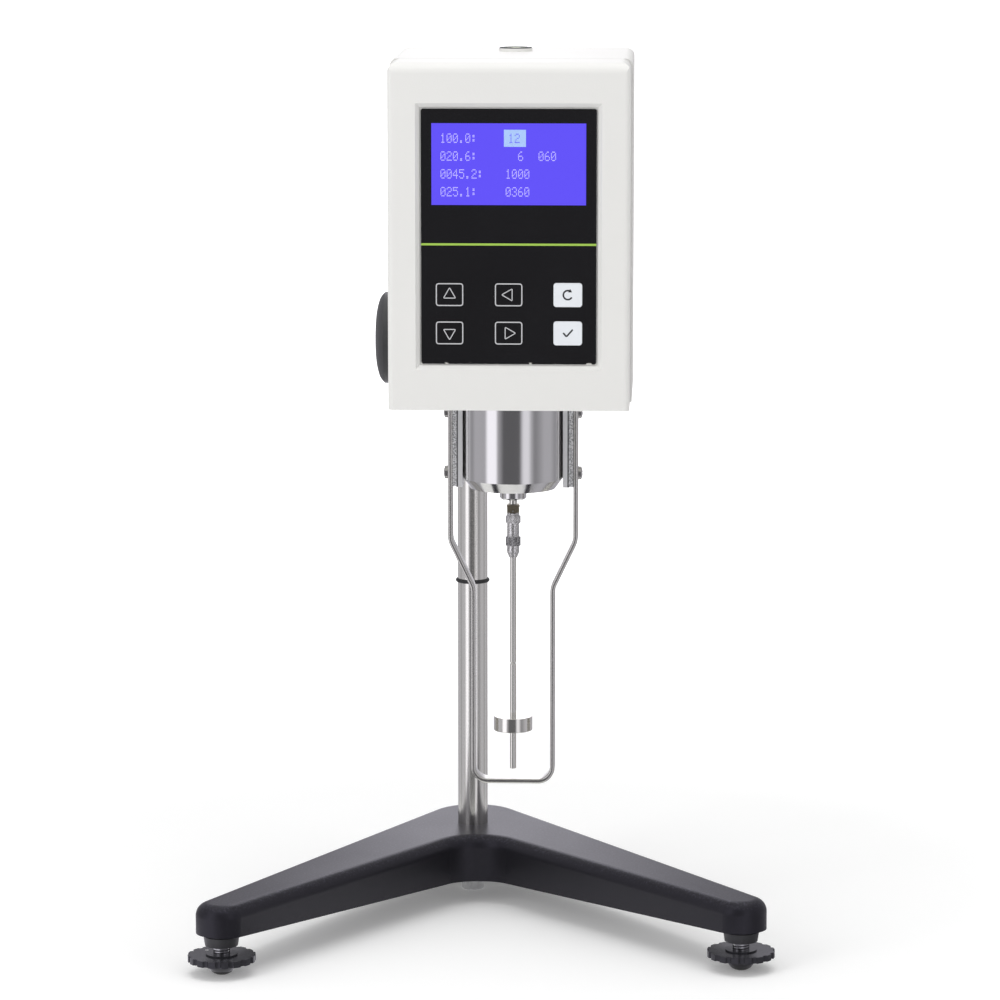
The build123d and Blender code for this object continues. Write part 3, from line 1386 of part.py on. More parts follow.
rotor_radius = rotor_shaft_diameter / 2
sleeve_radius = sleeve_diameter / 2
ring_radius = sleeve_ring_diameter / 2
with BuildPart() as rotor_sleeve:
    ring_low, ring_high = sleeve_ring_z
    knurl_low, knurl_high = sleeve_knurl_z
    add(turned_piece([(0, sleeve_top), (sleeve_radius, sleeve_top), (sleeve_radius, ring_high),
                      (ring_radius, ring_high), (ring_radius, ring_low), (sleeve_radius, ring_low),
                      (sleeve_radius, knurl_high), (ring_radius, knurl_high),
                      (ring_radius, knurl_low), (sleeve_radius, knurl_low),
                      (sleeve_radius, sleeve_bottom + sleeve_cone),
                      (rotor_radius + sleeve_nose, sleeve_bottom),
                      (rotor_radius, sleeve_bottom), (rotor_radius, ring_low), (0, ring_low)],
                     head_x, drive_y))
    with BuildSketch(drive_plane(sleeve_top)):
        Rectangle(tongue_width, tongue_thickness)
    extrude(amount=lower_tongue_end - sleeve_top)
    with BuildSketch(Plane(origin=(head_x, drive_y, lower_pin_z), z_dir=(0, 1, 0))):
        Circle(pin_radius + running_gap)
    extrude(amount=pin_bore_half, both=True, mode=Mode.SUBTRACT)
rotor_sleeve.part.label = "rotor_sleeve"
export_step(rotor_sleeve.part, "parts/rotor_sleeve.step")

with BuildPart() as disc_rotor:
    disc_radius = rotor_disc_diameter / 2
    disc_top = rotor_disc_bottom + rotor_disc_height
    mark_radius = rotor_radius - rotor_mark_depth
    mark_floor_half = rotor_mark_half - rotor_mark_depth
    add(turned_piece([(0, rotor_bottom), (rotor_radius - rotor_end_chamfer, rotor_bottom),
                      (rotor_radius, rotor_bottom + rotor_end_chamfer),
                      (rotor_radius, rotor_disc_bottom),
                      (disc_radius - rotor_edge, rotor_disc_bottom),
                      (disc_radius, rotor_disc_bottom + rotor_edge),
                      (disc_radius, disc_top - rotor_edge), (disc_radius - rotor_edge, disc_top),
                      (rotor_radius, disc_top), (rotor_radius, rotor_mark_z - rotor_mark_half),
                      (mark_radius, rotor_mark_z - mark_floor_half),
                      (mark_radius, rotor_mark_z + mark_floor_half),
                      (rotor_radius, rotor_mark_z + rotor_mark_half),
                      (rotor_radius, ring_low), (0, ring_low)], head_x, drive_y))
disc_rotor.part.label = "disc_rotor"
export_step(disc_rotor.part, "parts/disc_rotor.step")
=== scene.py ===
"""Studio scene and surface finishes of a bench rotational viscometer.

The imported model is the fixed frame. Every size is in metres in that frame, where +Z is up and the
display faces -Y. Each operator finishes one group of pieces, and main() calls them in order.
"""
from math import radians

import bmesh
import bpy
import numpy as np
from bpy.props import FloatProperty, FloatVectorProperty, IntProperty, PointerProperty
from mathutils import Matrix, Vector


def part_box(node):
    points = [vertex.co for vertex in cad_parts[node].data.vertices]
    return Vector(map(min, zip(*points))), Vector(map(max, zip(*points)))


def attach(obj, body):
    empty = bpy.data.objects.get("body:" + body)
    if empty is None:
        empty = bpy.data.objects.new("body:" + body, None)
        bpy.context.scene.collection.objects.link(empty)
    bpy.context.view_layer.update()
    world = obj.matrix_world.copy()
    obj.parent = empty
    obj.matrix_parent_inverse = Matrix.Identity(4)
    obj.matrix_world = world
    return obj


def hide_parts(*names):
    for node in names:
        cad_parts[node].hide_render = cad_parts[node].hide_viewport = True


bl_info = {
    "name": "Bench viscometer",
    "version": (1, 0, 0),
    "blender": (4, 5, 0),
    "location": "View3D > Sidebar > Viscometer",
    "description": "Finishes the pieces of a rotational viscometer and lights them in a studio",
    "category": "Add Mesh",
}

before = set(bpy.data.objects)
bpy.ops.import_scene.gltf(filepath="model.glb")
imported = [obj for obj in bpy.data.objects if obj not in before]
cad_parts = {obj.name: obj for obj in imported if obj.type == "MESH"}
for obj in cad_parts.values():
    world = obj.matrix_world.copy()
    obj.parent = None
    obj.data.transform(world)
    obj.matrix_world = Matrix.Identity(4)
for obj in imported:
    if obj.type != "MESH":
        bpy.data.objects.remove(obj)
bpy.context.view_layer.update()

MM = 0.001
KEY_ICON_TURNS = {"key_up": 90.0, "key_left": 180.0, "key_down": 270.0, "key_right": 0.0}
LCD_ROWS = ("100.0:", "020.6:", "0045.2:", "025.1:")
LCD_VALUES = ((1, "  6"), (2, "1000"), (3, "0360"))
LCD_THIRD = "060"
LCD_CHOSEN = "12"
# Figures of five by seven dots, from the top row down.
LCD_FIGURES = {
    "0": ("01110", "10001", "10011", "10101", "11001", "10001", "01110"),
    "1": ("00100", "01100", "00100", "00100", "00100", "00100", "01110"),
    "2": ("01110", "10001", "00001", "00110", "01000", "10000", "11111"),
    "3": ("01110", "10001", "00001", "00110", "00001", "10001", "01110"),
    "4": ("00010", "00110", "01010", "10010", "11111", "00010", "00010"),
    "5": ("11111", "10000", "11110", "00001", "00001", "10001", "01110"),
    "6": ("00110", "01000", "10000", "11110", "10001", "10001", "01110"),
    ".": ("00000", "00000", "00000", "00000", "00000", "01100", "01100"),
    ":": ("00000", "01100", "01100", "00000", "01100", "01100", "00000"),
}
# Lamps: place, and width and height, in metres.
LAMPS = {"key": ((-1.25, -1.35, 0.75), (0.7, 1.3)), "fill": ((1.35, -1.3, 0.7), (0.6, 1.2)),
         "top": ((0.0, -0.25, 1.7), (1.4, 1.2))}
LAMP_TARGET = (0.02, -0.06, 0.25)
# Floor profile: backdrop's bend radius, distance to it, its top and the floor's half width.
FLOOR_BEND, FLOOR_BACK, FLOOR_TOP, FLOOR_HALF = 0.8, 2.2, 3.0, 4.0
# Reflector cards: first and last bearing, in degrees to the right of the display's outward
# direction, and grey. Between two cards the grey runs straight from one to the next.
REFLECTOR_CARDS = (
    (-180.0, -174.0, 1.80), (-166.0, -165.0, 0.80), (-159.0, -125.0, 0.45),
    (-119.0, -117.0, 0.64), (-104.0, -98.0, 0.36), (-88.0, -75.0, 0.52), (-64.0, -57.0, 0.50),
    (-50.0, -31.0, 1.30), (-27.0, -27.0, 0.50), (-15.0, 16.0, 0.14), (24.0, 34.0, 0.95),
    (40.0, 41.0, 0.50), (46.0, 50.0, 0.30), (70.0, 88.0, 0.52), (104.0, 110.0, 0.36),
    (115.0, 116.0, 0.66), (124.0, 160.0, 0.45), (168.0, 170.0, 0.80), (177.0, 180.0, 1.80))


# ------------------------------------------------------------------ settings
def tint(name, description, default):
    """Colour setting, in linear values."""
    return FloatVectorProperty(name=name, description=description, default=default, size=3,
                               min=0.0, max=1.0, subtype="COLOR")


def size(name, description, default_mm):
    """Length setting, given in millimetres and kept in metres."""
    return FloatProperty(name=name, description=description, default=default_mm * MM, min=0.0,
                         unit="LENGTH", precision=5)


def share(name, description, default):
    """Setting from 0 to 1."""
    return FloatProperty(name=name, description=description, default=default, min=0.0, max=1.0,
                         subtype="FACTOR")


def metres(name, description, default):
    """Length setting in metres."""
    return FloatProperty(name=name, description=description, default=default, unit="LENGTH")


def rotation(name, description, degrees):
    """Angle setting, given in degrees."""
    return FloatProperty(name=name, description=description, default=radians(degrees),
                         unit="ROTATION")


def strength(name, description, default):
    """Light setting that can't be negative."""
    return FloatProperty(name=name, description=description, default=default, min=0.0)


class ViscometerColours(bpy.types.PropertyGroup):
    """Colours of the finishes."""
    casing: tint("Casing", "Satin paint of the head's two shells", (0.80, 0.795, 0.775))
    seam: tint("Seam gasket", "Grey strip between the shells", (0.19, 0.19, 0.195))
    panel: tint("Panel", "Gloss black of the display panel and the dark keys",
                (0.0085, 0.0082, 0.0095))
    chips: tint("Panel chips", "Bare film where the panel's lower edge is chipped",
                (0.70, 0.68, 0.64))
    screen: tint("Screen", "Blue of the lit display", (0.115, 0.078, 0.90))
    figures: tint("Figures", "Pale dots of the display", (0.46, 0.42, 0.90))
    highlight: tint("Highlight", "Box behind the chosen figure", (0.38, 0.55, 0.90))
    accent: tint("Accent line", "Green line across the panel", (0.37, 0.60, 0.08))
    print_grey: tint("Key print", "Outlines and arrows of the dark keys", (0.58, 0.58, 0.60))
    key_pale: tint("Pale keys", "Face of the two pale keys", (0.81, 0.84, 0.88))
    print_dark: tint("Dark print", "Marks on the pale keys", (0.02, 0.02, 0.024))
    base_paint: tint("Base paint", "Satin black paint of the base", (0.0135, 0.013, 0.016))
    sheen: tint("Violet sheen", "Tint of the dark paint's and wheels' reflections",
                (0.86, 0.83, 1.0))
    plastic: tint("Plastic", "Moulded wheels, collars and knob", (0.026, 0.026, 0.029))
    knob: tint("Knob", "Satin moulding of the lift knob", (0.048, 0.048, 0.05))
    rubber: tint("Rubber", "Pads, column ring and column cap", (0.018, 0.018, 0.019))
    steel: tint("Polished steel", "Housing and rotor", (0.73, 0.725, 0.71))
    guard: tint("Guard steel", "Guard strap", (0.68, 0.67, 0.63))
    column: tint("Column steel", "Polished column", (0.84, 0.83, 0.775))
    cards: tint("Cards", "Cloth of the reflector cards", (0.94, 0.925, 1.0))
    plated: tint("Plated steel", "Screws, studs and spindles", (0.60, 0.59, 0.57))
    aluminium: tint("Aluminium", "Cast and milled aluminium", (0.66, 0.665, 0.675))
    brass: tint("Brass", "Tarnished swivel block", (0.31, 0.275, 0.20))
    bronze: tint("Spring bronze", "Torque spring", (0.62, 0.42, 0.20))
    nylon: tint("Nylon", "Column bushes", (0.78, 0.76, 0.70))
    board: tint("Circuit board", "Green solder mask", (0.015, 0.13, 0.05))
    motor: tint("Motor", "Dark laminated motor body", (0.10, 0.10, 0.105))
    liquid: tint("Level liquid", "Yellow-green liquid in the level", (0.55, 0.80, 0.18))
    bubble: tint("Bubble", "Film of the bubble in the level", (0.88, 0.93, 0.70))
    print_white: tint("White print", "Marks of the rocker and the dot on a wheel",
                      (0.80, 0.80, 0.80))
    # Lavender grey: besides dust, this colour paints the violet sheen that the upward dark faces
    # would reflect.
    dust_and_sheen: tint("Dust", "Dust on the dark upward faces", (0.42, 0.40, 0.56))
    groove: tint("Bracket groove", "Rough anodised groove of the brackets", (0.12, 0.12, 0.125))
    nickel: tint("Nickel", "Worn nickel of the rotor's sleeve", (0.82, 0.81, 0.80))
    stud: tint("Stud", "Dark chrome of the foot studs", (0.34, 0.34, 0.35))
    milled: tint("Bracket metal", "Bright milled faces of the brackets", (0.90, 0.90, 0.91))


class ViscometerSizes(bpy.types.PropertyGroup):
    """Sizes of the surface details."""
    print_depth: size("Print depth", "How far printed marks stand on the panel", 0.03)
    outline_width: size("Outline width", "Line of the dark keys' outlines", 0.52)
    outline_radius: size("Outline corner", "Corner radius of the outlines", 1.2)
    icon_width: size("Arrow width", "Longest side of the arrow triangles", 5.6)
    icon_line: size("Arrow line", "Line of the arrow triangles", 0.42)
    icon_radius: size("Arrow corner", "Rounding of the arrow triangles", 0.5)
    mark_line: size("Mark line", "Line of the marks on the pale keys", 0.75)
    mark_radius: size("Mark radius", "Radius of the return mark on the upper pale key", 2.1)
    accent_height: size("Accent height", "Height of the line's middle above the table", 342.3)
    accent_width: size("Accent width", "Width of the line", 1.0)
    dot_across: size("Dot spacing across", "Column spacing of the display's dots", 0.48)
    dot_down: size("Dot spacing down", "Row spacing of the display's dots", 0.64)
    dot_fill: share("Dot fill", "Part of the spacing that a dot fills", 0.74)
    row_top: size("First row", "Window's top edge to the first row's middle", 6.9)
    row_pitch: size("Row spacing", "From one row of figures to the next", 8.25)
    column_label: size("Label column", "Window's left edge to the first figures", 4.4)
    column_value: size("Value column", "Window's left edge to the second figures", 34.6)
    column_unit: size("Third column", "Window's left edge to the third figures", 49.8)
    highlight_width: size("Highlight width", "Width of the box behind a figure", 10.2)
    highlight_height: size("Highlight height", "Height of the box behind a figure", 7.9)
    chosen_inset: size("Chosen inset", "Value column to the figure in the box", 1.3)
    chip_reach: size("Chip reach", "Height over the panel's lower edge where the chips end", 0.9)
    chip_full: size("Chip root", "Height up to which the chips are at their widest", 0.2)
    thread_pitch: size("Thread pitch", "Pitch of the foot studs' thread", 1.25)
    thread_depth: size("Thread depth", "Depth of the foot studs' thread", 0.06)
    stud_neck: size("Stud neck", "Radius of the stud's end in the pad", 2.5)
    stud_chamfer: size("Stud chamfer", "Chamfer of the stud's top", 0.8)
    screw_dome: size("Screw dome", "Rise of a screw head's crown", 0.8)
    recess_depth: size("Recess depth", "Depth of the cross recess in a screw head", 0.9)
    recess_width: size("Recess width", "Width of the cross recess's arms", 0.75)
    recess_reach: size("Recess reach", "Length of the cross recess's arms from the middle", 1.7)
    bubble_radius: size("Bubble radius", "Radius of the bubble in the level", 2.2)
    bubble_height: size("Bubble height", "Rise of the bubble's film over the glass", 0.09)
    level_mark: size("Level mark", "Radius of the ring that centres the bubble", 3.0)
    level_line: size("Level mark line", "Line of the ring that centres the bubble", 0.3)
    rocker_mark: size("Rocker mark", "Length of the switch's bar and width of its ring", 2.6)
    rocker_line: size("Rocker mark line", "Line of the switch's two marks", 0.45)
    rocker_reach: size("Rocker mark place", "From the rocker's ridge to a mark's middle", 4.2)
    rocker_ridge: size("Rocker ridge", "Depth of the ridge inside the rocker's raised end", 2.4)
    raised_lean: rotation("Raised half", "Lean of the rocker's upper half", 18.9)
    pressed_lean: rotation("Pressed half", "Lean of the rocker's lower half", 5.3)
    wheel_dot: size("Wheel dot", "Radius of the white dot on the left wheel", 0.9)
    wheel_dot_left: size("Wheel dot place", "From the wheel's axis left to the dot", 7.6)
    wheel_dot_back: size("Wheel dot depth", "From the wheel's axis back to the dot", 6.9)
    wheel_hub: size("Wheel hub", "Rise of a wheel's hub over its face", 0.6)
    screw_head: size("Screw head", "Radius of the guard screws' heads", 3.2)
    screw_shank: size("Screw shank", "Radius of the guard screws' shanks", 1.45)
    screw_depth: size("Screw depth", "Length of a shank under its head", 4.0)
    guard_thickness: size("Guard thickness", "Thickness of the guard's strap", 2.3)
    guard_edge: size("Guard edge", "Rounding of the strap's edges", 1.1)
    guard_bend: size("Guard bend", "Bend radius at the guard's shoulders", 10.0)
    guard_corner: size("Guard corner", "Bend radius at the guard's foot", 7.0)
    guard_narrow: size("Guard foot", "From the axis to the strap's middle at the foot", 19.2)
    guard_shoulder: size("Guard shoulder", "Height where the guard starts to narrow", 194.0)
    guard_waist: size("Guard waist", "Height where the guard is narrow", 171.0)
    ring_low: size("Ring underside", "Underside of the sleeve's upper ring", 202.4)
    knurl_low: size("Knurl underside", "Lower end of the sleeve's knurl", 191.3)
    knurl_high: size("Knurl top", "Upper end of the sleeve's knurl", 195.7)
    mask_edge: size("Mask edge", "Softness of the edges between finishes on a piece", 0.1)
    bracket_line: size("Bracket line", "Dark line at the inner edge of the groove", 0.6)
    level_lip: size("Level lip", "Dark top edge of the level's ring", 0.5)
    knurl_pitch: size("Knurl pitch", "Spacing of the diamond knurl", 0.55)
    knurl_count: IntProperty(name="Knurl lines", description="Knurl lines round the sleeve",
                             default=30, min=3)


class ViscometerStudio(bpy.types.PropertyGroup):
    """Camera, lamps, glow of the display and floor."""
    camera_place: FloatVectorProperty(
        name="Camera place", description="Where the camera stands", size=3, unit="LENGTH",
        default=(0.0968, -2.0674, 0.5221))
    camera_turn: rotation("Camera turn", "Turn of the view about the vertical", 2.3)
    camera_dip: rotation("Camera dip", "How far the view looks down", 8.841)
    camera_lens: FloatProperty(
        name="Lens", description="Focal length on a 36 mm sensor", default=149.95, unit="CAMERA")
    ambient: strength("Ambient", "Even light from all round", 0.60)
    screen_glow: strength("Screen glow", "Light given off by the display", 0.72)
    figure_glow: strength("Figure glow", "Light given off by the display's figures", 0.42)
    box_glow: strength("Box glow", "Light given off by the box and the figure in it", 0.1)
    key_watts: strength("Key lamp", "Large soft lamp at the left", 9.0)
    fill_watts: strength("Fill lamp", "Soft lamp at the right", 3.0)
    top_watts: strength("Top lamp", "Soft lamp overhead", 10.0)
    floor: tint("Floor", "Plain pale floor and backdrop", (0.90, 0.90, 0.90))
    floor_lift: share("Floor lift", "Light added to the floor where it is looked at", 0.16)
    floor_near: metres("Near floor", "Distance where the lift starts to grow", 0.25)
    floor_far: metres("Far floor", "Distance from which the floor is white", 1.4)
    card_near: metres("Card foot", "Inner end of the cards on the floor", 0.16)
    card_radius: metres("Card distance", "Distance of the reflector cards", 0.62)
    card_height: metres("Card height", "Height of the reflector cards", 0.9)


def settings(context):
    """Colours and sizes of the scene."""
    return context.scene.viscometer_colours, context.scene.viscometer_sizes


# ------------------------------------------------------------------ shader helpers
def rgba(colour):
    """Colour with full alpha."""
    return (*colour, 1.0)


def add_node(tree, kind, inputs=None, **attributes):
    """Node with its attributes set, and each input set to a value or linked from a socket."""
    made = tree.nodes.new(kind)
    for name, value in attributes.items():
        setattr(made, name, value)
    for name, value in (inputs or {}).items():
        if isinstance(value, bpy.types.NodeSocket):
            tree.links.new(value, made.inputs[name])
        else:
            made.inputs[name].default_value = value
    return made


def maths(tree, operation, first, second=0.0, third=0.0, clamp=False):
    """Result socket of a Math node."""
    made = add_node(tree, "ShaderNodeMath", {0: first, 1: second, 2: third},
                    operation=operation, use_clamp=clamp)
    return made.outputs[0]


def noise(tree, vector, scale, detail):
    """Value of a noise texture."""
    return add_node(tree, "ShaderNodeTexNoise",
                    {"Vector": vector, "Scale": scale, "Detail": detail}).outputs[0]


def ramp(tree, value, low, high, first=0.0, last=1.0):
    """First where the value is low, last where it is high, straight between them."""
    return add_node(tree, "ShaderNodeMapRange",
                    {"Value": value, "From Min": low, "From Max": high, "To Min": first,
                     "To Max": last}).outputs[0]


def vector_maths(tree, operation, first, second):
    """Vector socket of a Vector Math node."""
    return add_node(tree, "ShaderNodeVectorMath", {0: first, 1: second},
                    operation=operation).outputs[0]


def new_group(name, inputs, outputs):
    """Empty shader node group with named sockets; returns its tree, its input and output nodes."""
    tree = bpy.data.node_groups.new(name, "ShaderNodeTree")
    for label, (kind, default) in inputs.items():
        socket = tree.interface.new_socket(label, in_out="INPUT",
                                           socket_type="NodeSocket" + kind)
        if default is not None:
            socket.default_value = default
    for label, kind in outputs.items():
        tree.interface.new_socket(label, in_out="OUTPUT", socket_type="NodeSocket" + kind)
    return tree, tree.nodes.new("NodeGroupInput"), tree.nodes.new("NodeGroupOutput")


def fine_grain_group():
    """Grain of paint or moulding: two octaves of noise, one a third the size of the other."""
    tree, given, result = new_group(
        "fine_grain",
        {"Vector": ("Vector", None), "Scale": ("Float", 1500.0)},
        {"Height": "Float"})
    where, scale = given.outputs["Vector"], given.outputs["Scale"]
    coarse = noise(tree, where, scale, 2.0)
    finer = noise(tree, where, maths(tree, "MULTIPLY", scale, 3.0), 1.0)
    tree.links.new(maths(tree, "MULTIPLY_ADD", finer, 0.4, coarse), result.inputs["Height"])
    return tree


def uneven_group():
    """Slow variation: a colour and a roughness, each raised and lowered by soft noise."""
    tree, given, result = new_group(
        "uneven",
        {"Vector": ("Vector", None), "Scale": ("Float", 25.0),
         "Colour": ("Color", None), "Roughness": ("Float", 0.5),
         "Colour Spread": ("Float", 0.05),
         "Roughness Spread": ("Float", 0.05)},
        {"Colour": "Color", "Roughness": "Float"})
    soft = noise(tree, given.outputs["Vector"], given.outputs["Scale"], 3.0)
    swing = maths(tree, "SUBTRACT", soft, 0.5)
    factor = maths(tree, "MULTIPLY_ADD", swing, given.outputs["Colour Spread"], 1.0)
    scaled = vector_maths(tree, "MULTIPLY", given.outputs["Colour"], factor)
    roughness = maths(tree, "MULTIPLY_ADD", swing, given.outputs["Roughness Spread"],
                      given.outputs["Roughness"])
    tree.links.new(scaled, result.inputs["Colour"])
    tree.links.new(roughness, result.inputs["Roughness"])
    return tree


def tool_lines_group():
    """Fine lines left by turning or drawing: noise squeezed across the lines by Spacing."""
    tree, given, result = new_group(
        "tool_lines",
        {"Vector": ("Vector", None), "Spacing": ("Vector", None)},
        {"Height": "Float"})
    squeezed = vector_maths(tree, "MULTIPLY", given.outputs["Vector"], given.outputs["Spacing"])
    tree.links.new(noise(tree, squeezed, 1.0, 3.0), result.inputs["Height"])
    return tree


def dust_and_sheen_group():
    """Mask of dust and painted sheen: broken noise, kept only where the surface faces up, so upward
    faces take a lighter cover in place of a reflection.
    """
    tree, given, result = new_group(
        "settled_dust",
        {"Vector": ("Vector", None), "Scale": ("Float", 400.0),
         "Amount": ("Float", 0.2)},
        {"Mask": "Float"})
    flecks = noise(tree, given.outputs["Vector"], given.outputs["Scale"], 4.0)
    facing = add_node(tree, "ShaderNodeSeparateXYZ",
                      {0: add_node(tree, "ShaderNodeNewGeometry").outputs["Normal"]})
    both = maths(tree, "MULTIPLY", ramp(tree, flecks, 0.5, 0.75),
                 ramp(tree, facing.outputs["Z"], 0.4, 0.95))
    tree.links.new(maths(tree, "MULTIPLY", both, given.outputs["Amount"]),
                   result.inputs["Mask"])
    return tree


def diamond_knurl_group():
    """Diamond knurl round a vertical axis: the product of two opposed helical sine waves."""
    tree, given, result = new_group(
        "diamond_knurl",
        {"Vector": ("Vector", None), "Lines": ("Float", 30.0),
         "Pitch": ("Float", 0.001)},
        {"Height": "Float"})
    axes = add_node(tree, "ShaderNodeSeparateXYZ", {0: given.outputs["Vector"]})
    angle = maths(tree, "ARCTAN2", axes.outputs["Y"], axes.outputs["X"])
    around = maths(tree, "MULTIPLY", angle, given.outputs["Lines"])
    along = maths(tree, "DIVIDE", axes.outputs["Z"], given.outputs["Pitch"])
    climb = maths(tree, "MULTIPLY", along, 2 * np.pi)
    right = maths(tree, "SINE", maths(tree, "ADD", around, climb))
    left = maths(tree, "SINE", maths(tree, "SUBTRACT", around, climb))
    tree.links.new(maths(tree, "MULTIPLY", right, left), result.inputs["Height"])
    return tree


GROUP_MAKERS = {"fine_grain": fine_grain_group, "uneven": uneven_group,
                "tool_lines": tool_lines_group, "settled_dust": dust_and_sheen_group,
                "diamond_knurl": diamond_knurl_group}


def place_group(tree, name, inputs):
    """The named node group placed in a material, built the first time that it is asked for."""
    shared = bpy.data.node_groups.get(name) or GROUP_MAKERS[name]()
    return add_node(tree, "ShaderNodeGroup", inputs, node_tree=shared)


class Finish:
    """A material under construction: its tree, its shader and its object coordinates."""

    def __init__(self, name, colour, roughness, **sockets):
        self.material = bpy.data.materials.new(name)
        self.material.use_nodes = True
        self.tree = self.material.node_tree
        self.shader = self.tree.nodes["Principled BSDF"]
        self.where = add_node(self.tree, "ShaderNodeTexCoord").outputs["Object"]
        self.colour, self.roughness = rgba(colour), roughness
        self.layers = None
        self.shader.inputs["Base Color"].default_value = self.colour
        self.shader.inputs["Roughness"].default_value = roughness
        for label, value in sockets.items():
            self.shader.inputs[label.replace("_", " ")].default_value = value

    def link(self, source, label):
        """Links a socket to one of the shader's inputs."""
        self.tree.links.new(source, self.shader.inputs[label])

    def vary(self, scale, colour_spread, roughness_spread):
        """Slow unevenness of colour and gloss."""
        placed = place_group(self.tree, "uneven", {
            "Vector": self.where, "Scale": scale, "Colour": self.colour,
            "Roughness": self.roughness, "Colour Spread": colour_spread,
            "Roughness Spread": roughness_spread})
        self.layers = placed.outputs["Colour"]
        self.link(self.layers, "Base Color")
        self.link(placed.outputs["Roughness"], "Roughness")

    def cover(self, mask, colour):
        """Another colour over the varied one where the mask is 1."""
        mixed = add_node(self.tree, "ShaderNodeMix",
                         {"Factor": mask, "A": self.layers, "B": rgba(colour)},
                         data_type="RGBA")
        self.layers = mixed.outputs["Result"]
        self.link(self.layers, "Base Color")

    def dust_and_sheen(self, colour, amount):
        """Dust and a painted sheen on the faces that look up."""
        placed = place_group(self.tree, "settled_dust",
                             {"Vector": self.where, "Scale": 900.0, "Amount": amount})
        self.cover(placed.outputs["Mask"], colour)

    def ramp(self, value, low, high):
        """0 where the value is low, 1 where it is high."""
        return ramp(self.tree, value, low, high)

    def times(self, first, second):
        """Product of two masks."""
        return maths(self.tree, "MULTIPLY", first, second)

    def noise(self, scale, detail):
        """Noise in object coordinates."""
        return noise(self.tree, self.where, scale, detail)

    def along(self, axis):
        """Object coordinate along one axis."""
        return add_node(self.tree, "ShaderNodeSeparateXYZ", {0: self.where}).outputs[axis]

    def bump(self, height, distance_mm, strength=1.0):
        """Relief of the given depth from a height socket."""
        normal = add_node(self.tree, "ShaderNodeBump",
                          {"Height": height, "Distance": distance_mm * MM, "Strength": strength})
        self.link(normal.outputs[0], "Normal")

    def grain(self, scale, depth_mm):
        """Fine grain as relief."""
        placed = place_group(self.tree, "fine_grain", {"Vector": self.where, "Scale": scale})
        self.bump(placed.outputs["Height"], depth_mm)

    def lines(self, spacing, depth_mm):
        """Tool lines as relief."""
        placed = place_group(self.tree, "tool_lines", {"Vector": self.where, "Spacing": spacing})
        self.bump(placed.outputs["Height"], depth_mm)


def finish_nodes(material, *names):
    """Gives CAD nodes a material."""
    for name in names:
        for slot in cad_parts[name].material_slots:
            slot.material = material


# ------------------------------------------------------------------ finishes
def metal_finish(name, colour, roughness, spacing, depth_mm, spread=0.05):
    """Bare metal with tool lines and slightly uneven gloss."""
    finish = Finish(name, colour, roughness, Metallic=1.0)
    finish.vary(60.0, spread, 0.06)
    finish.lines(spacing, depth_mm)
    return finish.material


def moulded_finish(name, colour, roughness, grain_scale=1800.0, grain_mm=0.02, spread=0.08):
    """Moulded or painted surface with fine grain."""
    finish = Finish(name, colour, roughness)
    finish.vary(30.0, spread, 0.08)
    finish.grain(grain_scale, grain_mm)
    return finish.material


def dust_and_sheen_finish(name, colours, colour, roughness, grain_scale, grain_mm, amount):
    """Dark grained surface with a violet sheen in its reflections, and on its upward faces a little
    lavender dust that also paints a sheen.
    """
    finish = Finish(name, colour, roughness, Specular_Tint=rgba(colours.sheen),
                    Specular_IOR_Level=0.3)
    finish.vary(22.0, 0.15, 0.08)
    finish.dust_and_sheen(colours.dust_and_sheen, amount)
    finish.grain(grain_scale, grain_mm)
    return finish.material


def printed_finish(name, colour, glow=0.0):
    """Thin print: nearly even colour with a trace of mottle, lit from behind where it glows."""
    finish = Finish(name, colour, 0.38)
    finish.vary(300.0, 0.06, 0.04)
    finish.shader.inputs["Emission Color"].default_value = rgba(colour)
    finish.shader.inputs["Emission Strength"].default_value = glow
    return finish.material


# ------------------------------------------------------------------ surfaces
def grid_faces(rows, columns, rows_close, columns_close):
    """Quads between neighbouring grid points; a closed direction joins its end to its start."""
    row = np.arange(rows if rows_close else rows - 1)
    column = np.arange(columns if columns_close else columns - 1)
    row, column = np.meshgrid(row, column, indexing="ij")
    next_row, next_column = (row + 1) % rows, (column + 1) % columns
    quads = [row * columns + column, row * columns + next_column,
             next_row * columns + next_column, next_row * columns + column]
    return np.stack(quads, -1).reshape(-1, 4).tolist()


def grid_surface(grid, rows_close=False, columns_close=True):
    """Points and faces of a (rows, columns, 3) grid; rows that don't close get flat end caps."""
    rows, columns, _ = grid.shape
    faces = grid_faces(rows, columns, rows_close, columns_close)
    if not rows_close:
        faces.append(list(range(columns)))
        faces.append(list(range((rows - 1) * columns, rows * columns)))
    return grid.reshape(-1, 3), faces


def join_surfaces(surfaces):
    """One (points, faces) pair from several."""
    starts = np.cumsum([0] + [len(points) for points, _ in surfaces])
    faces = [[index + int(start) for index in face]
             for (_, part), start in zip(surfaces, starts) for face in part]
    return np.concatenate([points for points, _ in surfaces]), faces


def add_piece(name, surface, material, body, replaced=()):
    """Mesh object from points and faces, with outward normals, riding on its body."""
    points, faces = surface
    mesh = bpy.data.meshes.new(name)
    mesh.from_pydata(points.tolist(), [], faces)
    shell = bmesh.new()
    shell.from_mesh(mesh)
    bmesh.ops.recalc_face_normals(shell, faces=shell.faces)
    shell.to_mesh(mesh)
    shell.free()
    mesh.shade_smooth()
    mesh.set_sharp_from_angle(angle=radians(35))
    mesh.materials.append(material)
    piece = bpy.data.objects.new(name, mesh)
    bpy.context.scene.collection.objects.link(piece)
    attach(piece, body)
    if replaced:
        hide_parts(*replaced)
    return piece


def lay(flat, origin, across, up, outward):
    """Points given as (across, up, outward) distances, laid on a plane in the frame."""
    axes = np.array([across, up, outward], float)
    return np.array(origin, float) + flat @ axes


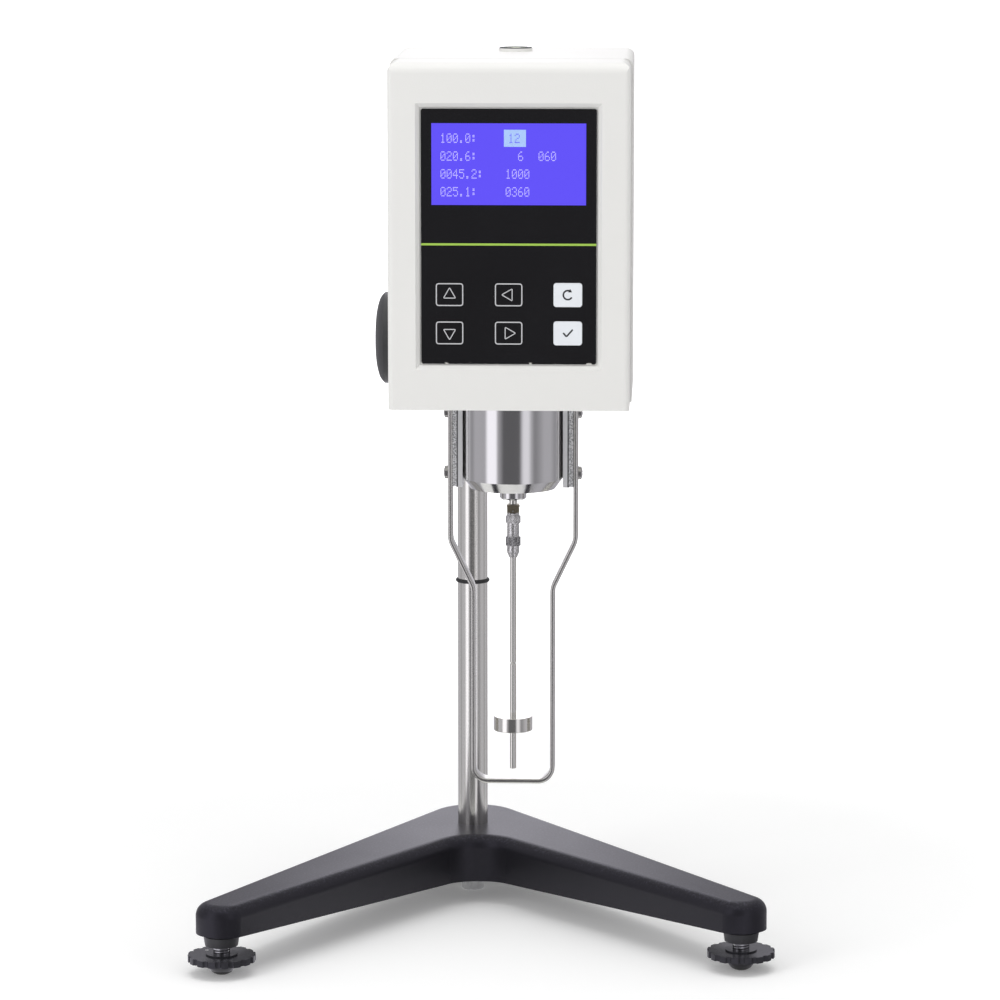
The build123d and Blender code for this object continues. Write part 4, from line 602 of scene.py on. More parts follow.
def rounded_outline(corners, radius, steps=6):
    """Closed outline whose corners are quadratic curves.

    Each curve runs from a point one radius before its corner to a point one radius after it:
    (1-s)^2 start + 2 s (1-s) corner + s^2 end.
    """
    corners = np.asarray(corners, float)
    before, after = np.roll(corners, 1, 0) - corners, np.roll(corners, -1, 0) - corners
    start = corners + radius * before / np.linalg.norm(before, axis=1, keepdims=True)
    end = corners + radius * after / np.linalg.norm(after, axis=1, keepdims=True)
    s = np.linspace(0, 1, steps)[None, :, None]
    curves = ((1 - s) ** 2 * start[:, None] + 2 * s * (1 - s) * corners[:, None]
              + s ** 2 * end[:, None])
    return curves.reshape(-1, 2)


def line_print(path, width, depth, closes=True):
    """Raised line along a flat path.

    Each path point is pushed half the width to both sides, square to the path, and those two
    points are repeated one depth below the print's face, so the section is a flat rectangle.
    """
    if closes:
        run = np.roll(path, -1, 0) - np.roll(path, 1, 0)
    else:
        run = np.gradient(path, axis=0)
    run /= np.linalg.norm(run, axis=1, keepdims=True)
    side = np.stack([-run[:, 1], run[:, 0]], 1) * width / 2
    left, right = path + side, path - side
    high, low = np.full((len(path), 1), depth), np.zeros((len(path), 1))
    section = [np.hstack([left, high]), np.hstack([right, high]),
               np.hstack([right, low]), np.hstack([left, low])]
    return grid_surface(np.stack(section, 1), rows_close=closes)


def plates(centres, width, height, depth):
    """Thin plates round flat centres: eight corners each, from all sign choices."""
    signs = np.array([(x, y) for y in (-0.5, 0.5) for x in (-0.5, 0.5)])
    flat = centres[:, None, :] + signs[None] * (width, height)
    low = np.concatenate([flat, np.zeros((*flat.shape[:2], 1))], -1)
    high = np.concatenate([flat, np.full((*flat.shape[:2], 1), depth)], -1)
    points = np.concatenate([low, high], 1).reshape(-1, 3)
    box = np.array([(0, 2, 3, 1), (4, 5, 7, 6), (0, 1, 5, 4), (2, 6, 7, 3), (0, 4, 6, 2),
                    (1, 3, 7, 5)])
    faces = (np.arange(len(centres))[:, None, None] * 8 + box[None]).reshape(-1, 4)
    return points, faces.tolist()


def flat_print(outline, depth):
    """Flat print: one closed outline at two depths."""
    low, high = np.zeros((len(outline), 1)), np.full((len(outline), 1), depth)
    return grid_surface(np.stack([np.hstack([outline, low]), np.hstack([outline, high])]))


def arc_path(radius, first_degrees, last_degrees, steps=32):
    """Points of a circular arc about the origin."""
    angle = np.radians(np.linspace(first_degrees, last_degrees, steps))
    return np.stack([radius * np.cos(angle), radius * np.sin(angle)], 1)


def bent_path(corners, radii, steps=12):
    """Open path of straight runs joined by circular bends.

    A bend starts r / tan(half the corner's angle) before its corner. Its points turn evenly
    about the bend's centre: (sin((1-s)w) start + sin(s w) end) / sin w, where w is the turn and
    start and end are taken from the centre.
    """
    corners = np.asarray(corners, float)
    back, ahead = corners[:-2] - corners[1:-1], corners[2:] - corners[1:-1]
    back /= np.linalg.norm(back, axis=1, keepdims=True)
    ahead /= np.linalg.norm(ahead, axis=1, keepdims=True)
    half = np.arccos((back * ahead).sum(1, keepdims=True)) / 2
    radii = np.asarray(radii, float)[:, None]
    middle = (back + ahead) / np.linalg.norm(back + ahead, axis=1, keepdims=True)
    centre = corners[1:-1] + middle * radii / np.sin(half)
    start = corners[1:-1] + back * radii / np.tan(half) - centre
    end = corners[1:-1] + ahead * radii / np.tan(half) - centre
    turn = (np.pi - 2 * half)[:, :, None]
    s = np.linspace(0, 1, steps)[None, :, None]
    bends = centre[:, None] + (np.sin((1 - s) * turn) * start[:, None]
                               + np.sin(s * turn) * end[:, None]) / np.sin(turn)
    return np.vstack([corners[:1], bends.reshape(-1, 2), corners[-1:]])


# ------------------------------------------------------------------ places read from the frame
def node_box(node):
    """Lowest and highest corners of a CAD node as arrays."""
    low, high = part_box(node)
    return np.array(low), np.array(high)


def on_face(surface, x, y, z):
    """A print's points laid on a face that looks towards -Y."""
    points, faces = surface
    return lay(points, (x, y, z), (1, 0, 0), (0, 0, 1), (0, -1, 0)), faces


def on_top(surface, x, y, z):
    """A print's points laid on a face that looks up."""
    points, faces = surface
    return lay(points, (x, y, z), (1, 0, 0), (0, 1, 0), (0, 0, 1)), faces


def add_print(name, surface, colour, body, glow=0.0):
    """Printed piece with a finish of its own."""
    return add_piece(name, surface, printed_finish(name + "_print", colour, glow), body)


def key_face(name):
    """Middle and front plane of a key's face."""
    low, high = node_box(name)
    return (low[0] + high[0]) / 2, low[1], (low[2] + high[2]) / 2, high - low


# ------------------------------------------------------------------ operators
class VISCOMETER_OT_finish_casing(bpy.types.Operator):
    """Satin white shells and their grey seam"""
    bl_idname = "viscometer.finish_casing"
    bl_label = "Finish casing"

    def execute(self, context):
        colours, _ = settings(context)
        casing = Finish("casing_satin", colours.casing, 0.46)
        casing.vary(14.0, 0.025, 0.06)
        casing.grain(1300.0, 0.035)
        finish_nodes(casing.material, "front_shell", "rear_shell")
        finish_nodes(moulded_finish("seam_strip", colours.seam, 0.7), "seam_gasket")
        return {"FINISHED"}


class VISCOMETER_OT_finish_panel(bpy.types.Operator):
    """Gloss panel with a chipped lower edge, lit screen and key faces"""
    bl_idname = "viscometer.finish_panel"
    bl_label = "Finish panel"

    def execute(self, context):
        colours, sizes = settings(context)
        studio = context.scene.viscometer_studio
        gloss = Finish("key_gloss", colours.panel, 0.22)
        gloss.vary(40.0, 0.2, 0.08)
        gloss.grain(900.0, 0.004)
        finish_nodes(gloss.material, *KEY_ICON_TURNS)
        finish_nodes(moulded_finish("key_pale", colours.key_pale, 0.35, 900.0, 0.006, 0.03),
                     "key_reset", "key_enter")
        finish_nodes(self.chipped_panel(colours, sizes), "overlay_panel")
        screen = Finish("screen_lit", tuple(0.35 * c for c in colours.screen), 0.18)
        screen.vary(20.0, 0.05, 0.03)
        screen.shader.inputs["Emission Color"].default_value = rgba(colours.screen)
        screen.shader.inputs["Emission Strength"].default_value = studio.screen_glow
        finish_nodes(screen.material, "lcd_window", "lcd_module")
        return {"FINISHED"}

    def chipped_panel(self, colours, sizes):
        """Panel film: near its lower edge, peaks of noise show the pale film under the print."""
        panel = Finish("panel_gloss", colours.panel, 0.22)
        panel.vary(40.0, 0.2, 0.08)
        low, _ = node_box("overlay_panel")
        near_edge = panel.ramp(panel.along("Z"), low[2] + sizes.chip_reach,
                               low[2] + sizes.chip_full)
        peaks = panel.ramp(panel.noise(260.0, 3.0), 0.57, 0.61)
        panel.cover(panel.times(peaks, near_edge), colours.chips)
        panel.grain(900.0, 0.004)
        return panel.material


class VISCOMETER_OT_add_display(bpy.types.Operator):
    """Rows of plain dot figures on the screen, the first in a pale box"""
    bl_idname = "viscometer.add_display"
    bl_label = "Add display"

    def execute(self, context):
        colours, sizes = settings(context)
        studio = context.scene.viscometer_studio
        low, high = node_box("lcd_window")
        origin = (low[0], low[1], high[2])
        rows = sizes.row_top + sizes.row_pitch * np.arange(len(LCD_ROWS))
        texts = [(label, sizes.column_label, row) for label, row in zip(LCD_ROWS, rows)]
        texts += [(text, sizes.column_value, rows[index]) for index, text in LCD_VALUES]
        texts.append((LCD_THIRD, sizes.column_unit, rows[1]))
        dots = np.concatenate([self.dots(sizes, *text) for text in texts])
        self.print_dots(sizes, "lcd_figures", dots, origin, colours.figures, studio.figure_glow,
                        sizes.print_depth)
        middle = np.array([[sizes.column_value + 0.4 * sizes.highlight_width, -rows[0]]])
        box = plates(middle, sizes.highlight_width, sizes.highlight_height, sizes.print_depth)
        add_print("lcd_highlight", on_face(box, *origin), colours.highlight, "head",
                  studio.box_glow)
        chosen = self.dots(sizes, LCD_CHOSEN, sizes.column_value + sizes.chosen_inset, rows[0])
        self.print_dots(sizes, "lcd_chosen_figure", chosen, origin, colours.screen,
                        studio.box_glow, 2 * sizes.print_depth)
        return {"FINISHED"}

    def dots(self, sizes, text, left, down):
        """Middles of the set dots of a text: each figure's pattern shifted by six dot columns."""
        found = []
        for place, figure in enumerate(text):
            if figure in LCD_FIGURES:
                pattern = np.array([[int(dot) for dot in row] for row in LCD_FIGURES[figure]])
                down_index, across_index = np.nonzero(pattern)
                found.append(np.stack([left + (across_index + 6 * place) * sizes.dot_across,
                                       (3 - down_index) * sizes.dot_down - down], 1))
        return np.concatenate(found)

    def print_dots(self, sizes, name, dots, origin, colour, glow, depth):
        """One plate for each dot."""
        surface = plates(dots, sizes.dot_across * sizes.dot_fill, sizes.dot_down * sizes.dot_fill,
                         depth)
        add_print(name, on_face(surface, *origin), colour, "head", glow)


class VISCOMETER_OT_add_panel_print(bpy.types.Operator):
    """Green line across the panel, outlined arrows on the dark keys and marks on the pale ones"""
    bl_idname = "viscometer.add_panel_print"
    bl_label = "Add panel print"

    def execute(self, context):
        colours, sizes = settings(context)
        low, high = node_box("overlay_panel")
        line = plates(np.array([[0.0, 0.0]]), high[0] - low[0], sizes.accent_width,
                      sizes.print_depth)
        line = on_face(line, (low[0] + high[0]) / 2, low[1], sizes.accent_height)
        add_print("accent_line", line, colours.accent, "head")
        grey = printed_finish("print_grey", colours.print_grey)
        for name, turn in KEY_ICON_TURNS.items():
            x, y, z, extent = key_face(name)
            outline = self.outline(sizes, extent)
            arrow = self.arrow(sizes, turn)
            add_piece(name + "_print", on_face(join_surfaces([outline, arrow]), x, y, z), grey,
                      name)
        dark = printed_finish("print_dark", colours.print_dark)
        for name, mark in (("key_reset", self.return_mark), ("key_enter", self.tick_mark)):
            x, y, z, _ = key_face(name)
            add_piece(name + "_print", on_face(mark(sizes), x, y, z), dark, name)
        return {"FINISHED"}

    def outline(self, sizes, extent):
        """Rounded rectangle just inside the key's edge."""
        across = extent[0] / 2 - sizes.outline_width
        up = extent[2] / 2 - sizes.outline_width
        corners = [(-across, -up), (across, -up), (across, up), (-across, up)]
        path = rounded_outline(corners, sizes.outline_radius)
        return line_print(path, sizes.outline_width, sizes.print_depth)

    def arrow(self, sizes, turn):
        """Triangle with one corner towards the turn angle: corners 120 degrees apart."""
        angle = np.radians(turn + np.array([0.0, 120.0, 240.0]))
        reach = sizes.icon_width / np.sqrt(3)
        corners = reach * np.stack([np.cos(angle), np.sin(angle)], 1)
        path = rounded_outline(corners, sizes.icon_radius)
        return line_print(path, sizes.icon_line, sizes.print_depth)

    def return_mark(self, sizes):
        """Three quarters of a ring, ending in a triangle."""
        ring = line_print(arc_path(sizes.mark_radius, 60.0, 330.0), sizes.mark_line,
                          sizes.print_depth, closes=False)
        tip = sizes.mark_radius * np.array([np.cos(radians(60.0)), np.sin(radians(60.0))])
        angle = np.radians(-30.0 + np.array([0.0, 120.0, 240.0]))
        corners = tip + 0.5 * sizes.mark_radius * np.stack([np.cos(angle), np.sin(angle)], 1)
        return join_surfaces([ring, flat_print(corners, sizes.print_depth)])

    def tick_mark(self, sizes):
        """Tick: a short stroke down and a long stroke up, joined by a quadratic bend."""
        reach = sizes.mark_radius
        start, bend, end = np.array([(-reach, 0.1 * reach), (-0.3 * reach, -0.75 * reach),
                                     (1.1 * reach, 0.85 * reach)])
        s = np.linspace(0, 1, 9)[:, None]
        near_start, near_end = bend + 0.3 * (start - bend), bend + 0.15 * (end - bend)
        curve = (1 - s) ** 2 * near_start + 2 * s * (1 - s) * bend + s ** 2 * near_end
        path = np.vstack([start, curve, end])
        return line_print(path, sizes.mark_line, sizes.print_depth, closes=False)


class VISCOMETER_OT_finish_level(bpy.types.Operator):
    """Round level: pale rim with a dark lip, tinted liquid, a bubble and its centring ring"""
    bl_idname = "viscometer.finish_level"
    bl_label = "Finish level"

    def execute(self, context):
        colours, sizes = settings(context)
        rim = Finish("level_rim", colours.casing, 0.40)
        rim.vary(60.0, 0.04, 0.05)
        top = node_box("level_ring")[1][2]
        lip = rim.ramp(rim.along("Z"), top - sizes.level_lip, top - 0.9 * sizes.level_lip)
        rim.cover(lip, colours.plastic)
        rim.grain(1500.0, 0.01)
        finish_nodes(rim.material, "level_ring")
        liquid = Finish("level_liquid", colours.liquid, 0.05)
        liquid.vary(200.0, 0.05, 0.02)
        liquid.shader.inputs["Transmission Weight"].default_value = 0.35
        finish_nodes(liquid.material, "level_vial")
        low, high = node_box("level_vial")
        middle = ((low[0] + high[0]) / 2, (low[1] + high[1]) / 2, high[2])
        circle = line_print(arc_path(sizes.level_mark, 0.0, 360.0, 65)[:-1], sizes.level_line,
                            sizes.print_depth)
        add_print("level_mark", on_top(circle, *middle), colours.print_dark, "head")
        add_print("level_bubble", self.bubble(sizes, middle), colours.bubble, "head")
        return {"FINISHED"}

    def bubble(self, sizes, middle):
        """Upper half of a flattened ball: latitude from the rim up, longitude all round."""
        latitude = np.linspace(0.0, 0.5 * np.pi - 0.03, 10)[:, None]
        longitude = np.linspace(0, 2 * np.pi, 32, endpoint=False)[None]
        grid = np.stack([
            middle[0] + sizes.bubble_radius * np.cos(latitude) * np.cos(longitude),
            middle[1] + sizes.bubble_radius * np.cos(latitude) * np.sin(longitude),
            middle[2] + sizes.bubble_height * np.sin(latitude) * np.ones_like(longitude)], -1)
        return grid_surface(grid)


class VISCOMETER_OT_finish_stand(bpy.types.Operator):
    """Painted base, polished column and their rubber pieces"""
    bl_idname = "viscometer.finish_stand"
    bl_label = "Finish stand"

    def execute(self, context):
        colours, _ = settings(context)
        # The base's upward faces get dust and a painted violet sheen.
        finish_nodes(dust_and_sheen_finish("base_paint", colours, colours.base_paint, 0.36, 1100.0, 0.025,
                                  0.10), "base_casting")
        finish_nodes(metal_finish("column_steel", colours.column, 0.20, (60, 60, 5000), 0.0025),
                     "column")
        bolt = metal_finish("bolt_plated", colours.milled, 0.42, (900, 900, 900), 0.01)
        bolt.node_tree.nodes["Principled BSDF"].inputs["Metallic"].default_value = 0.5
        finish_nodes(bolt, "column_foot_bolt")
        finish_nodes(moulded_finish("ring_rubber", colours.rubber, 0.55),
                     "stop_ring", "column_cap")
        finish_nodes(moulded_finish("collar_plastic", colours.plastic, 0.42), "foot_collars")
        return {"FINISHED"}


class VISCOMETER_OT_finish_feet(bpy.types.Operator):
    """Moulded wheels, rubber pads and threaded studs"""
    bl_idname = "viscometer.finish_feet"
    bl_label = "Finish feet"

    def execute(self, context):
        colours, sizes = settings(context)
        # The wheels' upward faces get dust and a painted violet sheen.
        finish_nodes(dust_and_sheen_finish("wheel_plastic", colours, colours.plastic, 0.24, 1600.0, 0.008,
                                  0.10), "left_foot_wheel", "right_foot_wheel")
        finish_nodes(moulded_finish("pad_rubber", colours.rubber, 0.30, 1800.0, 0.008),
                     "left_foot_pad", "right_foot_pad")
        stud = metal_finish("stud_chrome", colours.stud, 0.14, (900, 900, 900), 0.002)
        for side in ("left", "right"):
            add_piece(side + "_stud_thread", self.thread(sizes, side), stud, side + "_wheel",
                      [side + "_foot_stud"])
        stud_low, stud_high = node_box("left_foot_stud")
        middle = (stud_low + stud_high) / 2
        face = node_box("left_foot_wheel")[1][2] - sizes.wheel_hub
        dot = flat_print(arc_path(sizes.wheel_dot, 0.0, 360.0, 25)[:-1], sizes.print_depth)
        dot = on_top(dot, middle[0] - sizes.wheel_dot_left, middle[1] + sizes.wheel_dot_back,
                     face)
        add_print("wheel_dot", dot, colours.print_white, "left_wheel")
        return {"FINISHED"}

    def thread(self, sizes, side):
        """Threaded stud.

        The radius is the stud's, less a triangle wave of height over pitch minus turn over a full
        turn, and never more than the blank's own radius at that height.
        """
        low, high = node_box(side + "_foot_stud")
        shoulder = node_box(side + "_foot_wheel")[0][2]
        radius = (high[0] - low[0]) / 2
        middle = (low + high) / 2
        rows = np.arange(shoulder, high[2], sizes.thread_pitch / 10)
        height = np.concatenate([[low[2]], rows, [high[2]]])[:, None]
        turn = np.linspace(0, 2 * np.pi, 40, endpoint=False)[None]
        phase = (height / sizes.thread_pitch - turn / (2 * np.pi)) % 1.0
        cut = sizes.thread_depth * (1 - np.abs(2 * phase - 1))
        blank = np.interp(height[:, 0], [low[2], shoulder, shoulder + 0.01 * MM,
                                         high[2] - sizes.stud_chamfer, high[2]],
                          [sizes.stud_neck, sizes.stud_neck, radius, radius,
                           radius - sizes.stud_chamfer])
        reach = np.minimum(blank[:, None], radius - cut)
        grid = np.stack([middle[0] + reach * np.cos(turn), middle[1] + reach * np.sin(turn),
                         height * np.ones_like(turn)], -1)
        return grid_surface(grid)


class VISCOMETER_OT_finish_carriage(bpy.types.Operator):
    """Cast carriage, its bushes and screws, and the lift knob with its pinion"""
    bl_idname = "viscometer.finish_carriage"
    bl_label = "Finish carriage"

    def execute(self, context):
        colours, _ = settings(context)
        cast = Finish("carriage_cast", colours.aluminium, 0.48, Metallic=1.0)
        cast.vary(40.0, 0.08, 0.08)
        cast.grain(700.0, 0.06)
        finish_nodes(cast.material, "carriage_block")
        finish_nodes(moulded_finish("bush_nylon", colours.nylon, 0.5), "column_bushes")
        knob = Finish("knob_plastic", colours.knob, 0.42)
        knob.vary(50.0, 0.1, 0.08)
        knob.grain(1400.0, 0.02)
        finish_nodes(knob.material, "lift_knob", "tension_screw")
        finish_nodes(metal_finish("spindle_steel", colours.plated, 0.28, (3000, 60, 60), 0.003),
                     "pinion_shaft", "shaft_ring", "rod_clamp_screw", "head_rod")
        return {"FINISHED"}


class VISCOMETER_OT_finish_drive(bpy.types.Operator):
    """Polished housing, guard strap, its brackets and screws"""
    bl_idname = "viscometer.finish_drive"
    bl_label = "Finish drive"

    def execute(self, context):
        colours, sizes = settings(context)
        finish_nodes(metal_finish("housing_steel", colours.steel, 0.13, (40, 40, 4000), 0.0012,
                                  0.03), "drive_housing", "shaft_hub")
        guard = metal_finish("guard_steel", colours.guard, 0.26, (300, 1200, 300), 0.0002, 0.03)
        add_piece("guard_strap", self.strap(sizes), guard, "head",
                  ["guard_frame"])
        finish_nodes(self.bracket_finish(colours, sizes), "left_bracket", "right_bracket")
        heads = metal_finish("screw_plated", colours.plated, 0.24, (900, 900, 900), 0.004)
        rows = self.rows(sizes.screw_head)
        screws = [self.screw(sizes, side, z) for side in (-1, 1) for z in rows]
        add_piece("guard_cross_screws", join_surfaces(screws), heads, "head",
                  ["guard_screws"])
        finish_nodes(heads, "shell_screws")
        return {"FINISHED"}

    def strap(self, sizes):
        """Guard strap: a flat section with rounded edges, swept along straight runs and bends.

        At each path point the section's thickness lies square to the mean of the directions to
        the neighbouring points, and its width lies along Y.
        """
        low, high = node_box("guard_frame")
        middle, half = (low + high) / 2, (high - low) / 2
        wide, floor = half[0] - sizes.guard_thickness / 2, low[2] + sizes.guard_thickness / 2
        right = [(sizes.guard_narrow, floor), (sizes.guard_narrow, sizes.guard_waist),
                 (wide, sizes.guard_shoulder), (wide, high[2])]
        left = [(-across, up) for across, up in reversed(right)]
        bends = [sizes.guard_bend, sizes.guard_bend, sizes.guard_corner]
        path = bent_path(left + right, bends + bends[::-1])
        runs = np.diff(path, axis=0)
        runs /= np.linalg.norm(runs, axis=1, keepdims=True)
        along = np.vstack([runs[:1], runs[:-1] + runs[1:], runs[-1:]])
        along /= np.linalg.norm(along, axis=1, keepdims=True)
        section = rounded_outline(
            [(x * sizes.guard_thickness / 2, y * half[1])
             for x, y in ((-1, -1), (1, -1), (1, 1), (-1, 1))], sizes.guard_edge)
        across = section[None, :, 0]
        grid = np.stack([
            middle[0] + path[:, :1] - along[:, 1:] * across,
            middle[1] + np.ones((len(path), 1)) * section[None, :, 1],
            path[:, 1:] + along[:, :1] * across], -1)
        return grid_surface(grid)

    def rows(self, head):
        """Heights of the lower and upper screws: one head's radius inside the node's box."""
        low, high = node_box("guard_screws")
        return low[2] + head, high[2] - head

    def bracket_finish(self, colours, sizes):
        """Extruded aluminium: a dark line, and from it to the strap a rough, speckled part."""
        low, high = node_box("right_bracket")
        middle = (node_box("guard_frame")[0] + node_box("guard_frame")[1])[0] / 2
        bracket = Finish("bracket_aluminium", colours.milled, 0.42, Metallic=0.55)
        bracket.vary(60.0, 0.06, 0.06)
        offset = maths(bracket.tree, "SUBTRACT", bracket.along("X"), middle)
        side = maths(bracket.tree, "ABSOLUTE", offset)
        smooth_edge = low[0] - middle + 0.45 * (high[0] - low[0])
        edge = sizes.mask_edge
        rough = bracket.ramp(side, smooth_edge - edge, smooth_edge + edge)
        speckle = bracket.noise(1900.0, 2.0)
        pits = bracket.ramp(speckle, 0.47, 0.58)
        line_end = smooth_edge + sizes.bracket_line
        line = bracket.times(bracket.ramp(side, smooth_edge - edge, smooth_edge),
                             bracket.ramp(side, line_end + edge, line_end - edge))
        shade = maths(bracket.tree, "MULTIPLY_ADD", pits, bracket.times(rough, 0.7), line,
                      clamp=True)
        bracket.cover(shade, colours.groove)
        bracket.bump(bracket.times(speckle, rough), 0.08)
        return bracket.material

    def screw(self, sizes, side, z):
        """Domed head with a cross recess, on its shank.

        Rows run from the head's middle over the crown, down the rim and along the shank. The
        crown's height falls with the square of the radius, and sinks by the recess depth inside
        the two crossed arms.
        """
        low, high = node_box("guard_screws")
        strap_low, strap_high = node_box("guard_frame")
        middle = (strap_low + strap_high) / 2
        face = strap_high[0] - middle[0]
        rise = high[0] - strap_high[0]
        radius, shank = sizes.screw_head, sizes.screw_shank
        turn = np.linspace(0, 2 * np.pi, 96, endpoint=False)[None]
        reach = np.linspace(0.04, 1.0, 26)[:, None] * radius
        across, up = reach * np.cos(turn), reach * np.sin(turn)
        arms = np.minimum(np.abs(across), np.abs(up)) < sizes.recess_width / 2
        inside = arms & (reach < sizes.recess_reach)
        crown = rise - sizes.screw_dome * (reach / radius) ** 2
        crown = crown - sizes.recess_depth * inside
        rim = np.array([[radius, 0.0], [shank, 0.0], [shank, -sizes.screw_depth]])
        rim_across, rim_up = rim[:, :1] * np.cos(turn), rim[:, :1] * np.sin(turn)
        across, up = np.vstack([across, rim_across]), np.vstack([up, rim_up])
        out = np.vstack([crown, rim[:, 1:] * np.ones_like(turn)])
        grid = np.stack([middle[0] + side * (face + out), middle[1] + across,
                         z + up], -1)
        return grid_surface(grid)


class VISCOMETER_OT_finish_rotor(bpy.types.Operator):
    """Brass swivel, knurled sleeve and polished disc rotor"""
    bl_idname = "viscometer.finish_rotor"
    bl_label = "Finish rotor"

    def execute(self, context):
        colours, sizes = settings(context)
        finish_nodes(metal_finish("swivel_brass", colours.brass, 0.42, (1200, 1200, 1200), 0.006,
                                  0.3), "swivel_block")
        finish_nodes(metal_finish("shaft_steel", colours.column, 0.14, (60, 60, 4000), 0.001),
                     "measuring_shaft", "disc_rotor", "swivel_pins")
        finish_nodes(self.sleeve_finish(colours, sizes), "rotor_sleeve")
        return {"FINISHED"}

    def sleeve_finish(self, colours, sizes):
        """Worn nickel: dark specks all over, and a diamond knurl on the upper ring and the grip."""
        low, high = node_box("rotor_sleeve")
        sleeve = Finish("sleeve_nickel", colours.nickel, 0.26, Metallic=0.85)
        sleeve.vary(500.0, 0.3, 0.12)
        speckle = sleeve.noise(2200.0, 2.0)
        height = sleeve.along("Z")
        edge = sizes.mask_edge
        grip = sleeve.times(sleeve.ramp(height, sizes.knurl_low, sizes.knurl_low + edge),
                            sleeve.ramp(height, sizes.knurl_high, sizes.knurl_high - edge))
        knurled = maths(sleeve.tree, "ADD", grip,
                        sleeve.ramp(height, sizes.ring_low, sizes.ring_low + edge), clamp=True)
        axis = add_node(sleeve.tree, "ShaderNodeMapping",
                        {"Vector": sleeve.where,
                         "Location": (-(low[0] + high[0]) / 2, -(low[1] + high[1]) / 2, 0.0)})
        knurl = place_group(sleeve.tree, "diamond_knurl",
                            {"Vector": axis.outputs[0], "Lines": float(sizes.knurl_count),
                             "Pitch": 2 * sizes.knurl_pitch})
        worn = sleeve.times(sleeve.ramp(speckle, 0.50, 0.58), 0.6)
        sleeve.cover(maths(sleeve.tree, "MULTIPLY_ADD", grip, 0.55, worn, clamp=True),
                     colours.groove)
        relief = sleeve.times(knurl.outputs["Height"], knurled)
        sleeve.bump(maths(sleeve.tree, "ADD", relief, speckle), 0.06)
        return sleeve.material


class VISCOMETER_OT_finish_rear(bpy.types.Operator):
    """Power inlet and rocker switch on the back, with the switch's two marks"""
    bl_idname = "viscometer.finish_rear"
    bl_label = "Finish rear"

    def execute(self, context):
        colours, sizes = settings(context)
        finish_nodes(moulded_finish("fitting_plastic", colours.plastic, 0.38), "power_inlet",
                     "switch_frame", "power_rocker")
        low, high = node_box("power_rocker")
        ridge = np.array([(low[0] + high[0]) / 2, high[1] - sizes.rocker_ridge,
                          (low[2] + high[2]) / 2])
        radius = sizes.rocker_mark / 2
        ring = line_print(arc_path(radius, 0.0, 360.0, 33)[:-1], sizes.rocker_line,
                          sizes.print_depth)
        bar = plates(np.array([[0.0, 0.0]]), sizes.rocker_line, sizes.rocker_mark,
                     sizes.print_depth)
        marks = []
        for (points, faces), lean, reach in (
                (ring, sizes.raised_lean, sizes.rocker_reach),
                (bar, sizes.pressed_lean, -sizes.rocker_reach)):
            up = np.array([0.0, np.sin(lean), np.cos(lean)])
            outward = np.array([0.0, np.cos(lean), -np.sin(lean)])
            marks.append((lay(points, ridge + reach * up, (-1, 0, 0), up, outward), faces))
        add_print("rocker_marks", join_surfaces(marks), colours.print_white, "rocker")
        return {"FINISHED"}


class VISCOMETER_OT_finish_works(bpy.types.Operator):
    """Pieces inside the head: chassis, motor, boards, spring and discs"""
    bl_idname = "viscometer.finish_works"
    bl_label = "Finish works"

    def execute(self, context):
        colours, _ = settings(context)
        milled = metal_finish("milled_aluminium", colours.aluminium, 0.35, (150, 2500, 2500),
                              0.004)
        finish_nodes(milled, "head_chassis", "motor_plate", "motor_posts", "drive_disc",
                     "angle_disc")
        finish_nodes(metal_finish("bearing_steel", colours.plated, 0.22, (60, 60, 3000), 0.002),
                     "shaft_bearing", "motor_shaft")
        finish_nodes(metal_finish("spring_bronze", colours.bronze, 0.28, (60, 60, 2500), 0.002),
                     "hairspring")
        finish_nodes(moulded_finish("motor_shell", colours.motor, 0.45), "drive_motor")
        finish_nodes(moulded_finish("board_mask", colours.board, 0.3, 500.0, 0.02, 0.3),
                     "key_board", "main_board")
        return {"FINISHED"}


